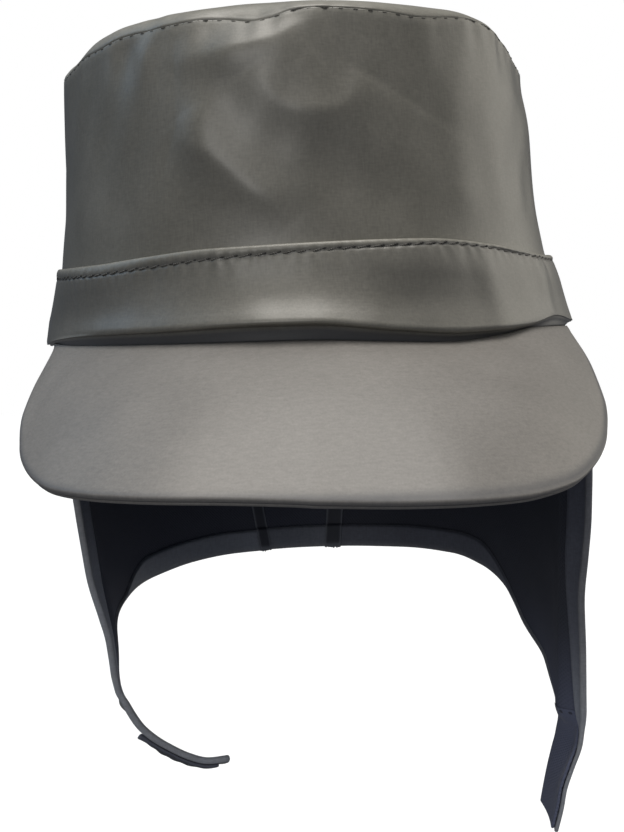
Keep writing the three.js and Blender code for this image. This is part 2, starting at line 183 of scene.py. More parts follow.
class BandPoint(NamedTuple):
    """Point of the band's section, by its place outward from the crown.

    Its height lies a share of the way from the foot to the top, plus a multiple of the depth of the
    stitch line below the top, plus an offset.
    """

    outward: float
    share: float
    by_drop: float = 0.0
    offset: float = 0.0


class SeamLine(NamedTuple):
    """Back seam of the curtain, by its azimuth at the rim and at the hem."""

    top_azimuth: float
    low_azimuth: float


class Profile(NamedTuple):
    """Point of an edge seen end on: mm outward from the sheet, share of its thickness down, and its painted
    shade with some dirt.
    """

    outward: float
    down: float
    grime: float = 0.0


def table(kind: type[Row], *rows: Sequence[float]) -> tuple[Row, ...]:
    """Names the columns of a short table by the kind of its rows."""
    return tuple(kind(*row) for row in rows)


def bell(distance: Array) -> Array:
    """Bell curve of height 1."""
    return np.exp(-0.5 * distance * distance)


def ramp(value: Array, start: float, full: float) -> Array:
    """Smooth step from 0 at start to 1 at full, which may be the lower of the two."""
    t = np.clip((np.asarray(value, float) - start) / (full - start), 0.0, 1.0)
    return t * t * (3.0 - 2.0 * t)


def between(start: Array, end: Array, share: Array) -> Array:
    """Value a share of the way from start to end."""
    return start + (end - start) * share


def turn_between(start: float, azimuth: Array) -> Array:
    """Shortest signed angle from one azimuth to others, in degrees."""
    return np.mod(azimuth - start + 180.0, 360.0) - 180.0


def smooth_column(
    rows: Sequence[NamedTuple], source: str, target: str,
) -> Callable[[Array], Array]:
    """Makes a smooth curve through two columns of a table.

    Args:
        rows: Table whose source column rises down the table.
        source: Name of the column that the curve reads.
        target: Name of the column that the curve gives.

    Returns:
        Function of the source value, level past both ends of the table.
    """
    x = np.array([getattr(row, source) for row in rows], float)
    y = np.array([getattr(row, target) for row in rows], float)
    slopes = np.diff(y) / np.diff(x)
    before, after = slopes[:-1], slopes[1:]
    bends = before * after > 0
    tangents = np.empty_like(y)
    tangents[0], tangents[-1] = slopes[0], slopes[-1]
    tangents[1:-1] = np.where(bends, 2 * before * after / np.where(bends, before + after, 1.0), 0.0)

    def curve(value: Array) -> Array:
        """Target column at values of the source column."""
        held = np.clip(np.asarray(value, float), x[0], x[-1])
        i = np.clip(np.searchsorted(x, held, side="left") - 1, 0, len(x) - 2)
        span = x[i + 1] - x[i]
        t = (held - x[i]) / span
        ease = t * t * (3 - 2 * t)
        bend = t * (1 - t) * span
        leaning = (1 - t) * tangents[i] - t * tangents[i + 1]
        return y[i] * (1 - ease) + y[i + 1] * ease + bend * leaning

    return curve


def smooth_path(points: Sequence[Sequence[float]], count: int, closed: bool = False) -> Array:
    """Samples a smooth line through chosen points.

    Args:
        points: Points of any dimension, in order.
        count: Number of samples, spaced evenly along the line.
        closed: Whether the line returns to its first point.

    Returns:
        Array of samples, one per row. A closed line doesn't repeat its first sample.
    """
    knots = np.array(points, float)
    if closed:
        knots = np.vstack([knots[-1:], knots, knots[:2]])
    else:
        knots = np.vstack([2 * knots[0] - knots[1], knots, 2 * knots[-1] - knots[-2]])
    chords = np.linalg.norm(np.diff(knots, axis=0), axis=1)
    marks = np.concatenate([[0.0], np.cumsum(chords)])
    tangents = (knots[2:] - knots[:-2]) / (marks[2:] - marks[:-2])[:, None]
    steps = 12
    pieces = []
    for i in range(1, len(knots) - 2):
        span = marks[i + 1] - marks[i]
        t = np.linspace(0, 1, steps, endpoint=False)[:, None]
        start, end = tangents[i - 1] * span, tangents[i] * span
        pieces.append(
            knots[i] * (1 + t * t * (2 * t - 3))
            + knots[i + 1] * (t * t * (3 - 2 * t))
            + start * (t * (1 - t) ** 2)
            - end * (t * t * (1 - t))
        )
    pieces.append(knots[-2:-1])
    line = np.vstack(pieces)
    run = np.concatenate([[0.0], np.cumsum(np.linalg.norm(np.diff(line, axis=0), axis=1))])
    stops = np.linspace(0, run[-1], count, endpoint=not closed)
    return np.stack([np.interp(stops, run, line[:, k]) for k in range(line.shape[1])], axis=1)


def fold_depth(folds: Sequence[Fold], azimuth: Array, height: Array) -> Array:
    """Adds up soft folds at places on the wall.

    Args:
        folds: Folds of the wall.
        azimuth, height: Places on the wall.

    Returns:
        Inward depth in mm.
    """
    total = np.zeros(np.broadcast(azimuth, height).shape)
    for fold in folds:
        along = turn_between(fold.azimuth, azimuth) * MM_PER_DEGREE
        up = height - fold.height
        turn = math.radians(fold.turn)
        across = (along * math.cos(turn) + up * math.sin(turn)) / fold.across
        upright = (up * math.cos(turn) - along * math.sin(turn)) / fold.upright
        total = total + fold.depth * bell(across) * bell(upright)
    return total


def shift_at(shifts: Sequence[LevelShift], height: Array) -> Array:
    """Shift at heights."""
    return smooth_column(shifts, "height", "shift")(height)


def line_height(points: Sequence[LinePoint], azimuth: Array) -> Array:
    """Height of a line round the cap. Its table runs from -180 to 180 degrees."""
    return smooth_column(points, "azimuth", "height")(turn_between(0.0, azimuth))


@dataclass(frozen=True)
class Ridge:
    """Soft ridge along a curved line of the cloth, with its own reach on each side of the path."""

    rise: float
    left_reach: float
    right_reach: float
    crest: float
    path: tuple[tuple[float, float], ...]
    samples: int = 48
    end_fade: float = 0.8

    def depth(self, azimuth: Array, height: Array) -> Array:
        """Depth of the ridge at places on the wall.

        Args:
            azimuth, height: Places on the wall.

        Returns:
            Inward depth in mm, which is negative on the ridge.
        """
        azimuth, height = np.broadcast_arrays(azimuth, height)
        line = smooth_path([(a * MM_PER_DEGREE, h) for a, h in self.path], self.samples)
        place = np.stack([turn_between(0.0, azimuth) * MM_PER_DEGREE, height], axis=-1)
        nearest = np.full(azimuth.shape, np.inf)
        signed = np.zeros(azimuth.shape)
        share = np.zeros(azimuth.shape)
        for i, (start, end) in enumerate(zip(line[:-1], line[1:])):
            way = end - start
            t = np.clip((place - start) @ way / (way @ way), 0.0, 1.0)
            offset = place - start - t[..., None] * way
            distance = np.linalg.norm(offset, axis=-1)
            closer = distance < nearest
            nearest = np.where(closer, distance, nearest)
            left = way[0] * offset[..., 1] - way[1] * offset[..., 0] > 0
            signed = np.where(closer, np.where(left, distance, -distance), signed)
            share = np.where(closer, (i + t) / (len(line) - 1), share)
        reach = np.where(signed > 0, self.left_reach, self.right_reach)
        fade = np.sin(math.pi * share) ** self.end_fade
        return -self.rise * np.exp((self.crest - np.hypot(signed, self.crest)) / reach) * fade


@dataclass(frozen=True)
class Ripple:
    """Faint unevenness of hanging cloth that closes on itself round the cap."""

    seed: int
    count: int
    slowest: int
    fastest: int
    rise_length: float
    depth: float

    def at(self, azimuth: Array, height: Array) -> Array:
        """Depth of the ripple at places on the wall.

        Args:
            azimuth, height: Places on the wall.

        Returns:
            Inward depth in mm, positive and negative by turns.
        """
        dice = np.random.default_rng(self.seed)
        total = np.zeros(np.broadcast(azimuth, height).shape)
        for _ in range(self.count):
            waves = int(dice.integers(self.slowest, self.fastest + 1))
            climb = dice.normal(0.0, 2 * math.pi / self.rise_length)
            phase = dice.uniform(0.0, 2 * math.pi)
            total = total + np.sin(np.radians(azimuth) * waves + climb * height + phase)
        return total * self.depth / math.sqrt(self.count)


@dataclass(frozen=True)
class CapForm:
    """Shared form of the cap: the oval of the head opening and the soft wall of the crown."""

    sections: tuple[WallSection, ...] = table(
        WallSection, (0, 86.6, 102.0, 0.4), (12, 84.0, 99.6, -0.2), (25, 80.8, 97.2, -1.2),
        (50, 78.4, 95.2, -1.9), (75, 77.8, 93.6, -1.6), (92, 76.8, 92.2, -1.3),
    )
    folds: tuple[Fold, ...] = table(
        Fold, (-13, 90.5, 14.5, 6.2, 0, 4.6), (-20, 70, 11, 6, -30, 0.7), (-19, 57, 9, 7, -40, -1.9),
        (-15, 38, 16, 7, -38, 0.3), (-9, 25, 20, 5, 0, -0.8), (0, 50, 18, 8, -20, 1.4),
        (-34.5, 90, 3.2, 4.5, 0, 1.6), (-34.5, 83, 2.6, 6, 0, -0.5), (-40, 83, 5, 7, 0, 1.6),
        (28, 66, 12, 18, 0, 0.9), (15, 36, 12, 12, 0, 0.8), (42, 46, 15, 26, 0, -1.0),
        (-70, 90, 14, 8, 0, -0.6), (-84, 60, 20, 18, 0, 0.7), (78, 84, 26, 10, 0, 2.0),
        (45, 94, 42, 14, 0, 1.3), (-88, 84, 9, 6, 0, -0.7), (120, 62, 24, 9, 25, 2.2),
        (165, 74, 22, 9, -15, 2.0), (195, 50, 20, 8, 30, 1.8), (245, 66, 24, 10, -30, 2.2),
    )
    ridges: tuple[Ridge, ...] = (
        Ridge(2.5, 5.0, 17.0, 2.2, ((-26, 76.5), (-17, 78), (-11, 79), (-4, 81.5), (1.5, 84.8), (8, 87))),
        Ridge(
            2.2, 6.0, 18.0, 1.4,
            ((-7.5, 74), (-5.4, 67), (-2, 62.4), (2.8, 60.8), (8.5, 61.6), (12, 65.4), (14, 72)),
        ),
        Ridge(1.9, 6.5, 12.0, 2.0, ((-26, 56), (-17, 49.5), (-11, 42.5), (-6.5, 36.5), (-3, 29))),
    )
    rim_waves: tuple[RimWave, ...] = table(
        RimWave, (-69, 14, -4.6), (-90, 6, 1.3), (-48, 8, -0.6), (-14, 9, 0.7), (50, 14, 0.9),
        (75, 21, -7.4), (140, 16, 0.8), (172, 14, -1.0), (230, 18, 0.8),
    )
    ripple: Ripple = Ripple(SEED, 14, 9, 34, 46.0, 0.16)
    wall_height: float = 89.3
    band_height: float = 24.2
    fold_fade: float = 16.0
    rim_power: int = 4
    girth_samples: int = 2881

    def size_at(self, column: str, height: Array) -> Array:
        """Size of the oval at a height, by its column. Below the foot it stays as it is there."""
        return smooth_column(self.sections, "height", column)(np.maximum(height, 0.0))

    def oval(self, azimuth: Array, height: Array, outward: Array) -> Array:
        """Points on the oval, moved outward along its level normal.

        Args:
            azimuth, height: Places of the points.
            outward: Distance from the oval in mm.

        Returns:
            Points in mm.
        """
        azimuth, height, outward = np.broadcast_arrays(azimuth, height, outward)
        sine, cosine = np.sin(np.radians(azimuth)), np.cos(np.radians(azimuth))
        normal = self.level_normal(azimuth, height)
        across = self.size_at("shift", height) + self.size_at("half_width", height) * sine
        x = across + normal[..., 0] * outward
        y = -self.size_at("half_depth", height) * cosine + normal[..., 1] * outward
        return np.stack([x, y, np.asarray(height, float)], axis=-1)

    def level_normal(self, azimuth: Array, height: Array) -> Array:
        """Outward level normals of the oval.

        Args:
            azimuth, height: Places on the wall.

        Returns:
            Unit normals.
        """
        azimuth, height = np.broadcast_arrays(azimuth, height)
        x = np.sin(np.radians(azimuth)) / self.size_at("half_width", height)
        y = -np.cos(np.radians(azimuth)) / self.size_at("half_depth", height)
        size = np.hypot(x, y)
        return np.stack([x / size, y / size, np.zeros_like(x)], axis=-1)

    def rim_height(self, azimuth: Array) -> Array:
        """Height of the waved rim.

        Args:
            azimuth: Azimuth of each place.

        Returns:
            Heights in mm.
        """
        height = np.full(np.shape(azimuth), self.wall_height)
        for wave in self.rim_waves:
            away = turn_between(wave.azimuth, azimuth) * MM_PER_DEGREE
            height = height + wave.rise * bell(away / wave.across)
        return height

    def wall(self, azimuth: Array, height: Array, outward: Array) -> Array:
        """Points of the crown wall, which carries its folds above the band.

        Args:
            azimuth: Azimuth of each point.
            height: Height of each point on a level rim.
            outward: Distance from the wall's outer face in mm.

        Returns:
            Points in mm.
        """
        azimuth, height, outward = np.broadcast_arrays(azimuth, height, outward)
        free = ramp(height, self.band_height, self.band_height + self.fold_fade)
        depth = fold_depth(self.folds, azimuth, height) + self.ripple.at(azimuth, height)
        for ridge in self.ridges:
            depth = depth + ridge.depth(azimuth, height)
        points = self.oval(azimuth, height, outward - free * depth)
        climb = np.maximum(0.0, height / self.wall_height) ** self.rim_power
        points[..., 2] = height + (self.rim_height(azimuth) - self.wall_height) * climb
        return points

    def even_azimuths(self, height: float, pitch: float) -> Array:
        """Divides the oval into even steps.

        Args:
            height: Height of the oval.
            pitch: Step in mm, which is fitted to a whole number of steps.

        Returns:
            Azimuth of each step.
        """
        azimuth = np.linspace(0.0, 360.0, self.girth_samples)
        points = self.oval(azimuth, height, 0.0)
        run = np.concatenate([[0.0], np.cumsum(np.linalg.norm(np.diff(points, axis=0), axis=1))])
        count = round(run[-1] / pitch)
        return np.interp(np.arange(count) * run[-1] / count, run, azimuth)


def place_mesh(
    name: str, points: Array, faces: Sequence[Sequence[int]], uv: Array, slots: Array,
    materials: Sequence[Material],
) -> Object:
    """Makes the smooth object of a piece.

    Args:
        name: Name of the piece.
        points: Its points in mm.
        faces: Corners of each face.
        uv: UV of every corner in mm, face by face.
        slots: Material slot of each face.
        materials: Materials in the order of their slots.

    Returns:
        Object at the origin, with its place in its mesh.
    """
    mesh = bpy.data.meshes.new(name)
    mesh.from_pydata((points * MM).tolist(), [], faces)
    layer = mesh.uv_layers.new(name="cloth")
    layer.data.foreach_set("uv", (uv * MM).astype(np.float32).ravel())
    for material in materials:
        mesh.materials.append(material)
    mesh.polygons.foreach_set("material_index", slots.astype(np.int32))
    mesh.polygons.foreach_set("use_smooth", np.ones(len(mesh.polygons), bool))
    mesh.update()
    piece = bpy.data.objects.new(name, mesh)
    bpy.context.scene.collection.objects.link(piece)
    return piece


@dataclass
class ClothMesh:
    """Closed mesh of a piece in mm, before Blender holds it."""

    points: Array
    faces: list[tuple[Array, Array, Array]]
    marks: dict[str, Array] = field(default_factory=dict)

    def volume(self) -> float:
        """Measures what the mesh encloses.

        Returns:
            Volume in cubic mm, positive when the faces point outward.
        """
        total = 0.0
        for corners, _, _ in self.faces:
            for k in range(1, corners.shape[1] - 1):
                a, b, c = (self.points[corners[:, j]] for j in (0, k, k + 1))
                total += float(np.einsum("ij,ij->i", a, np.cross(b, c)).sum()) / 6
        return total

    def to_object(self, name: str, materials: Sequence[Material]) -> Object:
        """Makes the Blender object with its UV map, marks and materials.

        Args:
            name: Name of the piece.
            materials: Materials in the order of their slots.

        Returns:
            Object at the origin, with its place in its mesh.
        """
        flip = self.volume() < 0
        corners, maps, slots = [], [], []
        for index, uv, slot in self.faces:
            corners += (index[:, ::-1] if flip else index).tolist()
            maps.append((uv[:, ::-1] if flip else uv).reshape(-1, 2))
            slots.append(slot)
        piece = place_mesh(name, self.points, corners, np.vstack(maps), np.concatenate(slots), materials)
        for mark, values in self.marks.items():
            attribute = piece.data.attributes.new(mark, "FLOAT", "POINT")
            attribute.data.foreach_set("value", values.astype(np.float32))
        piece.data.update()
        return piece


def ring_mesh(
    sections: Array,
    section_uv: Array,
    slots: Array,
    marks: dict[str, Array],
    poles: tuple[Array, Array] | None = None,
) -> ClothMesh:
    """Carries a section round the cap to a closed mesh.

    Args:
        sections: Points of every section, by azimuth and place in the section.
        section_uv: UV of the same places, with one more azimuth that closes the ring.
        slots: Material slot of the face that follows each place of the section.
        marks: Values of the same places as sections.
        poles: First and last middle points, where the sections are open and end there.

    Returns:
        Closed mesh.
    """
    around, count = sections.shape[:2]
    a = np.arange(around)[:, None]
    s = np.arange(count - 1 if poles else count)[None, :]
    here, there = a * count, ((a + 1) % around) * count
    follow = (s + 1) % count
    quads = np.stack([here + s, there + s, there + follow, here + follow], axis=-1).reshape(-1, 4)
    uv_next = np.broadcast_to(a + 1, (around, s.shape[1]))
    uv_here = np.broadcast_to(a, (around, s.shape[1]))
    places = [(uv_here, s), (uv_next, s), (uv_next, follow), (uv_here, follow)]
    quad_uv = np.stack([section_uv[i, j + np.zeros_like(i)] for i, j in places], axis=-2)
    quad_uv = quad_uv.reshape(-1, 4, 2)
    quad_slots = np.broadcast_to(slots[: s.shape[1]], (around, s.shape[1])).reshape(-1)
    faces = [(quads, quad_uv, quad_slots)]
    points = sections.reshape(-1, 3)
    marks = {name: values.reshape(-1) for name, values in marks.items()}
    if poles:
        first, last = len(points), count - 1
        points = np.vstack([points, poles[0], poles[1]])
        marks = {name: np.concatenate([values, [0.0, 0.0]]) for name, values in marks.items()}
        low = np.stack([np.full(around, first), there[:, 0], here[:, 0]], axis=-1)
        high = np.stack([np.full(around, first + 1), here[:, 0] + last, there[:, 0] + last], axis=-1)
        for corners, slot in ((low, slots[0]), (high, slots[-1])):
            faces.append((corners, points[corners][..., :2], np.full(around, slot)))
    return ClothMesh(points, faces, marks)


@dataclass
class Sheet:
    """Open sheet of cloth as a grid, with what it takes to close it into a wall."""

    points: Array
    quads: Array
    uv: Array
    lift: Array
    depth: Array
    round_edge: Array
    hem: Array
    wear: Array
    grime: Array
    fade: Array

    @staticmethod
    def from_rows(rows: Sequence[dict[str, Array]], flip: bool) -> "Sheet":
        """Joins rows of points. A short row stops early, so a sheet can have a tail.

        Args:
            rows: For each row its columns, point and the fields after quads.
            flip: Whether the outer side is the other one.

        Returns:
            Sheet of all rows.
        """
        quads = []
        start = 0
        for above, below in zip(rows[:-1], rows[1:]):
            next_start = start + len(above["lift"])
            j = np.arange(min(len(above["lift"]), len(below["lift"])) - 1)
            quads.append(np.stack([start + j, next_start + j, next_start + j + 1, start + j + 1], axis=-1))
            start = next_start
        columns = {key: np.concatenate([row[key] for row in rows]) for key in rows[0]}
        joined = np.vstack(quads)
        return Sheet(columns.pop("point"), joined[:, ::-1] if flip else joined, **columns)

    def normals(self) -> Array:
        """Finds the sheet's direction at its points.

        Returns:
            Unit normals on the outer side.
        """
        a, b, c, d = (self.points[self.quads[:, k]] for k in range(4))
        face_normals = np.cross(c - a, d - b)
        total = np.zeros_like(self.points)
        for k in range(4):
            np.add.at(total, self.quads[:, k], face_normals)
        return total / np.linalg.norm(total, axis=1, keepdims=True)

    def border(self) -> Array:
        """Finds the edges that belong to one face only.

        Returns:
            Pairs of points, with the sheet on their left.
        """
        pairs = np.vstack([self.quads[:, [k, (k + 1) % 4]] for k in range(4)])
        size = len(self.points)
        keys = pairs[:, 0] * size + pairs[:, 1]
        back = pairs[:, 1] * size + pairs[:, 0]
        return pairs[~np.isin(keys, back)]

    def thickened(self, profile: Sequence[Profile], edge_face: Face = Face.OUTER) -> ClothMesh:
        """Closes the sheet into a wall with a shaped edge.

        Args:
            profile: Edge from the outer face to the inner one, without the faces' own edges. Its
                outward lengths are scaled by round_edge.
            edge_face: Material slot of the edge.

        Returns:
            Closed mesh with its inner face, hem and edge in their slots.
        """
        count = len(self.points)
        normals = self.normals()
        outer = self.points + normals * self.lift[:, None]
        inner = outer - normals * self.depth[:, None]
        edges = self.border()
        out = np.zeros_like(self.points)
        sideways = np.cross(self.points[edges[:, 1]] - self.points[edges[:, 0]], normals[edges[:, 0]])
        for k in range(2):
            np.add.at(out, edges[:, k], sideways)
        rim = np.unique(edges)
        place = np.full(count, -1)
        order = np.arange(len(rim))
        place[rim] = order
        out = out[rim] / np.linalg.norm(out[rim], axis=1, keepdims=True)
        rings = [outer[rim] + out * (step.outward * self.round_edge[rim])[:, None]
                 - normals[rim] * (step.down * self.depth[rim])[:, None] for step in profile]
        points = np.vstack([outer, inner, *rings])
        ends = [rim, *(2 * count + k * len(rim) + order for k in range(len(profile))), rim + count]
        a, b = place[edges[:, 0]], place[edges[:, 1]]
        uv_rim = self.uv[rim]
        faces = [(self.quads, self.uv[self.quads], np.full(len(self.quads), int(Face.OUTER)))]
        hemmed = self.hem[self.quads].mean(axis=1) > HEMMED_SHARE
        inner_slots = np.where(hemmed, int(Face.HEM), int(Face.INNER))
        faces.append((self.quads[:, ::-1] + count, self.uv[self.quads[:, ::-1]], inner_slots))
        for high, low in zip(ends[:-1], ends[1:]):
            strip = np.stack([high[a], low[a], low[b], high[b]], axis=-1)
            strip_uv = np.stack([uv_rim[a], uv_rim[a], uv_rim[b], uv_rim[b]], axis=-2)
            faces.append((strip, strip_uv, np.full(len(strip), int(edge_face))))
        deep = [np.full(len(rim), step.grime) for step in profile]
        marks = {
            "wear": np.concatenate([self.wear, self.wear, *([self.wear[rim]] * len(profile))]),
            "grime": np.concatenate([self.grime, self.grime, *deep]),
            # The fade mark's painted light lies on the inner face and the edge, none on the outer face
            "fade": np.concatenate([0.0 * self.fade, self.fade, *([self.fade[rim]] * len(profile))]),
        }
        return ClothMesh(points, faces, marks)


def sheet_row(
    points: Array, u: Value, v: Value, hemmed: Value, round_edge: Value, to_edge: Value,
) -> dict[str, Array]:
    """Makes a row of a sheet. What follows the points is one value, or one for each point.

    Args:
        points: Points of the row.
        u: Distance along the cloth in mm.
        v: Distance down the cloth in mm.
        hemmed: Whether the cloth is folded in.
        round_edge: Roundness of the edge.
        to_edge: Distance to the free edge in mm.

    Returns:
        Columns of the row.
    """
    ones = np.ones(len(points))
    return {
        "point": points,
        "uv": np.stack([u * ones, v * ones], axis=-1),
        "lift": 0.0 * ones,
        "depth": CLOTH + HEM_CLOTH * (hemmed * ones),
        "round_edge": round_edge * ones,
        "hem": hemmed * ones,
        # Lighter towards the free edge: painted highlight on the rolled edge, with some wear
        "wear": bell(to_edge / 0.7) * ones,
        "grime": 0.0 * ones,
        # Painted light: lower down the curtain the inner face and hem turn lighter and bluer, where light
        # from the front reaches under the peak
        "fade": ramp(points[:, 2], -55.0, -118.0),
    }


FOLDED_EDGE = tuple(
    Profile(math.sin(math.pi * k / 6), (1 - math.cos(math.pi * k / 6)) / 2) for k in range(1, 6)
)


class Nodes:
    """Short way to lay out and link the nodes of a material or group."""

    def __init__(self, tree: NodeTree) -> None:
        """Starts in a tree."""
        self.tree = tree

    def add(self, kind: str, **settings: object) -> Node:
        """Adds a node. A setting is a property of the node, or else the value of an input by its name."""
        node = self.tree.nodes.new(kind)
        for name, value in settings.items():
            if hasattr(node, name):
                setattr(node, name, value)
            else:
                node.inputs[name.replace("_", " ")].default_value = value
        return node

    def link(self, source: NodeSocket, target: NodeSocket) -> None:
        """Links an output to an input."""
        self.tree.links.new(source, target)

    def feed(self, value: object, target: NodeSocket) -> None:
        """Links an output to an input, or sets the input to a value."""
        if isinstance(value, NodeSocket):
            self.link(value, target)
        else:
            target.default_value = value

    def mark(self, name: str) -> NodeSocket:
        """Reads a mark of the mesh."""
        return self.add("ShaderNodeAttribute", attribute_name=name).outputs["Fac"]

    def math(
        self, operation: str, first: object, second: object = 0.0, third: object = 0.0,
    ) -> NodeSocket:
        """Adds a Math node.

        Args:
            operation: Name of its operation.
            first, second, third: Sockets or numbers.

        Returns:
            Its output.
        """
        node = self.add("ShaderNodeMath", operation=operation)
        for slot, value in enumerate((first, second, third)):
            self.feed(value, node.inputs[slot])
        return node.outputs[0]

    def noise(
        self, vector: NodeSocket, scale: object, detail: float, roughness: float = 0.5,
    ) -> NodeSocket:
        """Adds a Noise Texture.

        Args:
            vector: Place that it reads.
            scale: Socket or number.
            detail: Number of finer layers.
            roughness: Strength of the finer layers.

        Returns:
            Its value.
        """
        node = self.add("ShaderNodeTexNoise", Detail=detail, Roughness=roughness)
        self.link(vector, node.inputs["Vector"])
        self.feed(scale, node.inputs["Scale"])
        return node.outputs["Fac"]

    def mix_colour(
        self, share: object, first: object, second: object, blend: str = "MIX",
    ) -> NodeSocket:
        """Adds a Mix node for colours.

        Args:
            share: Share of the second colour.
            first, second: Sockets or colours.
            blend: Name of the way to mix.

        Returns:
            Mixed colour.
        """
        node = self.add("ShaderNodeMix", data_type="RGBA", blend_type=blend)
        for slot, value in ((0, share), (6, first), (7, second)):
            self.feed(value, node.inputs[slot])
        return node.outputs[2]

    def emboss(self, shader: Node, height: NodeSocket, depth: float) -> None:
        """Turns a shader's normals by a height, where a height of 1 is a depth in metres."""
        bump = self.add("ShaderNodeBump", Strength=1.0, Distance=depth)
        self.link(height, bump.inputs["Height"])
        self.link(bump.outputs["Normal"], shader.inputs["Normal"])


def new_material(name: str) -> tuple[Material, Nodes, Node]:
    """Makes a material, and gives its nodes and its Principled shader with it."""
    material = bpy.data.materials.new(name)
    material.use_nodes = True
    return material, Nodes(material.node_tree), material.node_tree.nodes["Principled BSDF"]


def shared_group(
    name: str, numbers: dict[str, float], outputs: Sequence[str],
) -> tuple[NodeTree, Nodes, NodeOutputs, NodeInputs]:
    """Makes an empty shader group that reads a vector and numbers.

    Args:
        name: Name of the group.
        numbers: Name and default of each number that it reads.
        outputs: Name of each number that it puts out.

    Returns:
        Group, its nodes, the sockets that it reads from and those that it puts out.
    """
    group = bpy.data.node_groups.new(name, "ShaderNodeTree")
    group.interface.new_socket(name="Vector", in_out="INPUT", socket_type="NodeSocketVector")
    for label, default in numbers.items():
        socket = group.interface.new_socket(name=label, in_out="INPUT", socket_type="NodeSocketFloat")
        socket.default_value = default
    for label in outputs:
        group.interface.new_socket(name=label, in_out="OUTPUT", socket_type="NodeSocketFloat")
    enter, leave = group.nodes.new("NodeGroupInput"), group.nodes.new("NodeGroupOutput")
    return group, Nodes(group), enter.outputs, leave.inputs


@dataclass
class Effects:
    """Shader groups that the finishes share."""

    grain: NodeTree
    weave: NodeTree
    wear: NodeTree

    @staticmethod
    def build() -> "Effects":
        """Builds the groups."""
        return Effects(Effects.coating_grain(), Effects.plain_weave(), Effects.edge_light_and_wear())

    @staticmethod
    def coating_grain() -> NodeTree:
        """Grain of a rubbery coating: fine pimples, faint creases, threads and slow clouds of tone.

        Returns:
            Group that puts out a height, the clouds and the threads.
        """
        numbers = {"Grain per m": 1700.0, "Creases": 0.5}
        group, n, enter, leave = shared_group("coating_grain", numbers, ("Height", "Cloud", "Thread"))
        vector = enter["Vector"]
        threads = []
        for stretch in ((1.0, 1.0, 0.2), (0.25, 0.25, 1.0)):
            drawn = n.add("ShaderNodeMapping", Scale=stretch)
            n.link(vector, drawn.inputs["Vector"])
            threads.append(n.noise(drawn.outputs["Vector"], 1900.0, 1.0))
        n.link(n.math("MULTIPLY", n.math("ADD", *threads), 0.5), leave["Thread"])
        pimples = n.noise(vector, enter["Grain per m"], 2.0)
        slow = n.noise(vector, 34.0, 2.0)
        creased = n.add("ShaderNodeTexNoise", Scale=120.0, Detail=3.0, Distortion=0.7)
        n.link(vector, creased.inputs["Vector"])
        ridge = n.math("ABSOLUTE", n.math("SUBTRACT", creased.outputs["Fac"], 0.5))
        height = n.math("MULTIPLY_ADD", ridge, enter["Creases"], n.math("MULTIPLY", pimples, 0.22))
        n.link(height, leave["Height"])
        n.link(slow, leave["Cloud"])
        return group

    @staticmethod
    def plain_weave() -> NodeTree:
        """Plain weave that follows the cloth's own UV map.

        Returns:
            Group that puts out the weave's height and the uneven tone of its threads.
        """
        group, n, enter, leave = shared_group("plain_weave", {"Threads per m": 1500.0}, ("Height", "Thread"))
        split = n.add("ShaderNodeSeparateXYZ")
        n.link(enter["Vector"], split.inputs[0])
        turns = n.math("MULTIPLY", enter["Threads per m"], math.pi)
        along = n.math("SINE", n.math("MULTIPLY", split.outputs["X"], turns))
        up = n.math("SINE", n.math("MULTIPLY", split.outputs["Y"], turns))
        weave = n.math("MULTIPLY", along, up)
        n.link(n.math("MULTIPLY_ADD", weave, 0.5, 0.5), leave["Height"])
        n.link(n.noise(enter["Vector"], 260.0, 3.0), leave["Thread"])
        return group

    @staticmethod
    def edge_light_and_wear() -> NodeTree:
        """Breaks up the mesh's mark of painted light and wear.

        Returns:
            Group that puts out the mask of painted light and wear.
        """
        group, n, enter, leave = shared_group("edge_light_and_wear", {"Mark": 0.0, "Amount": 0.6}, ("Mask",))
        patches = n.noise(enter["Vector"], 190.0, 4.0, 0.6)
        broken = n.math("MULTIPLY", enter["Mark"], n.math("MULTIPLY_ADD", patches, 0.9, 0.3))
        n.link(n.math("MINIMUM", n.math("MULTIPLY", broken, enter["Amount"]), 1.0), leave["Mask"])
        return group


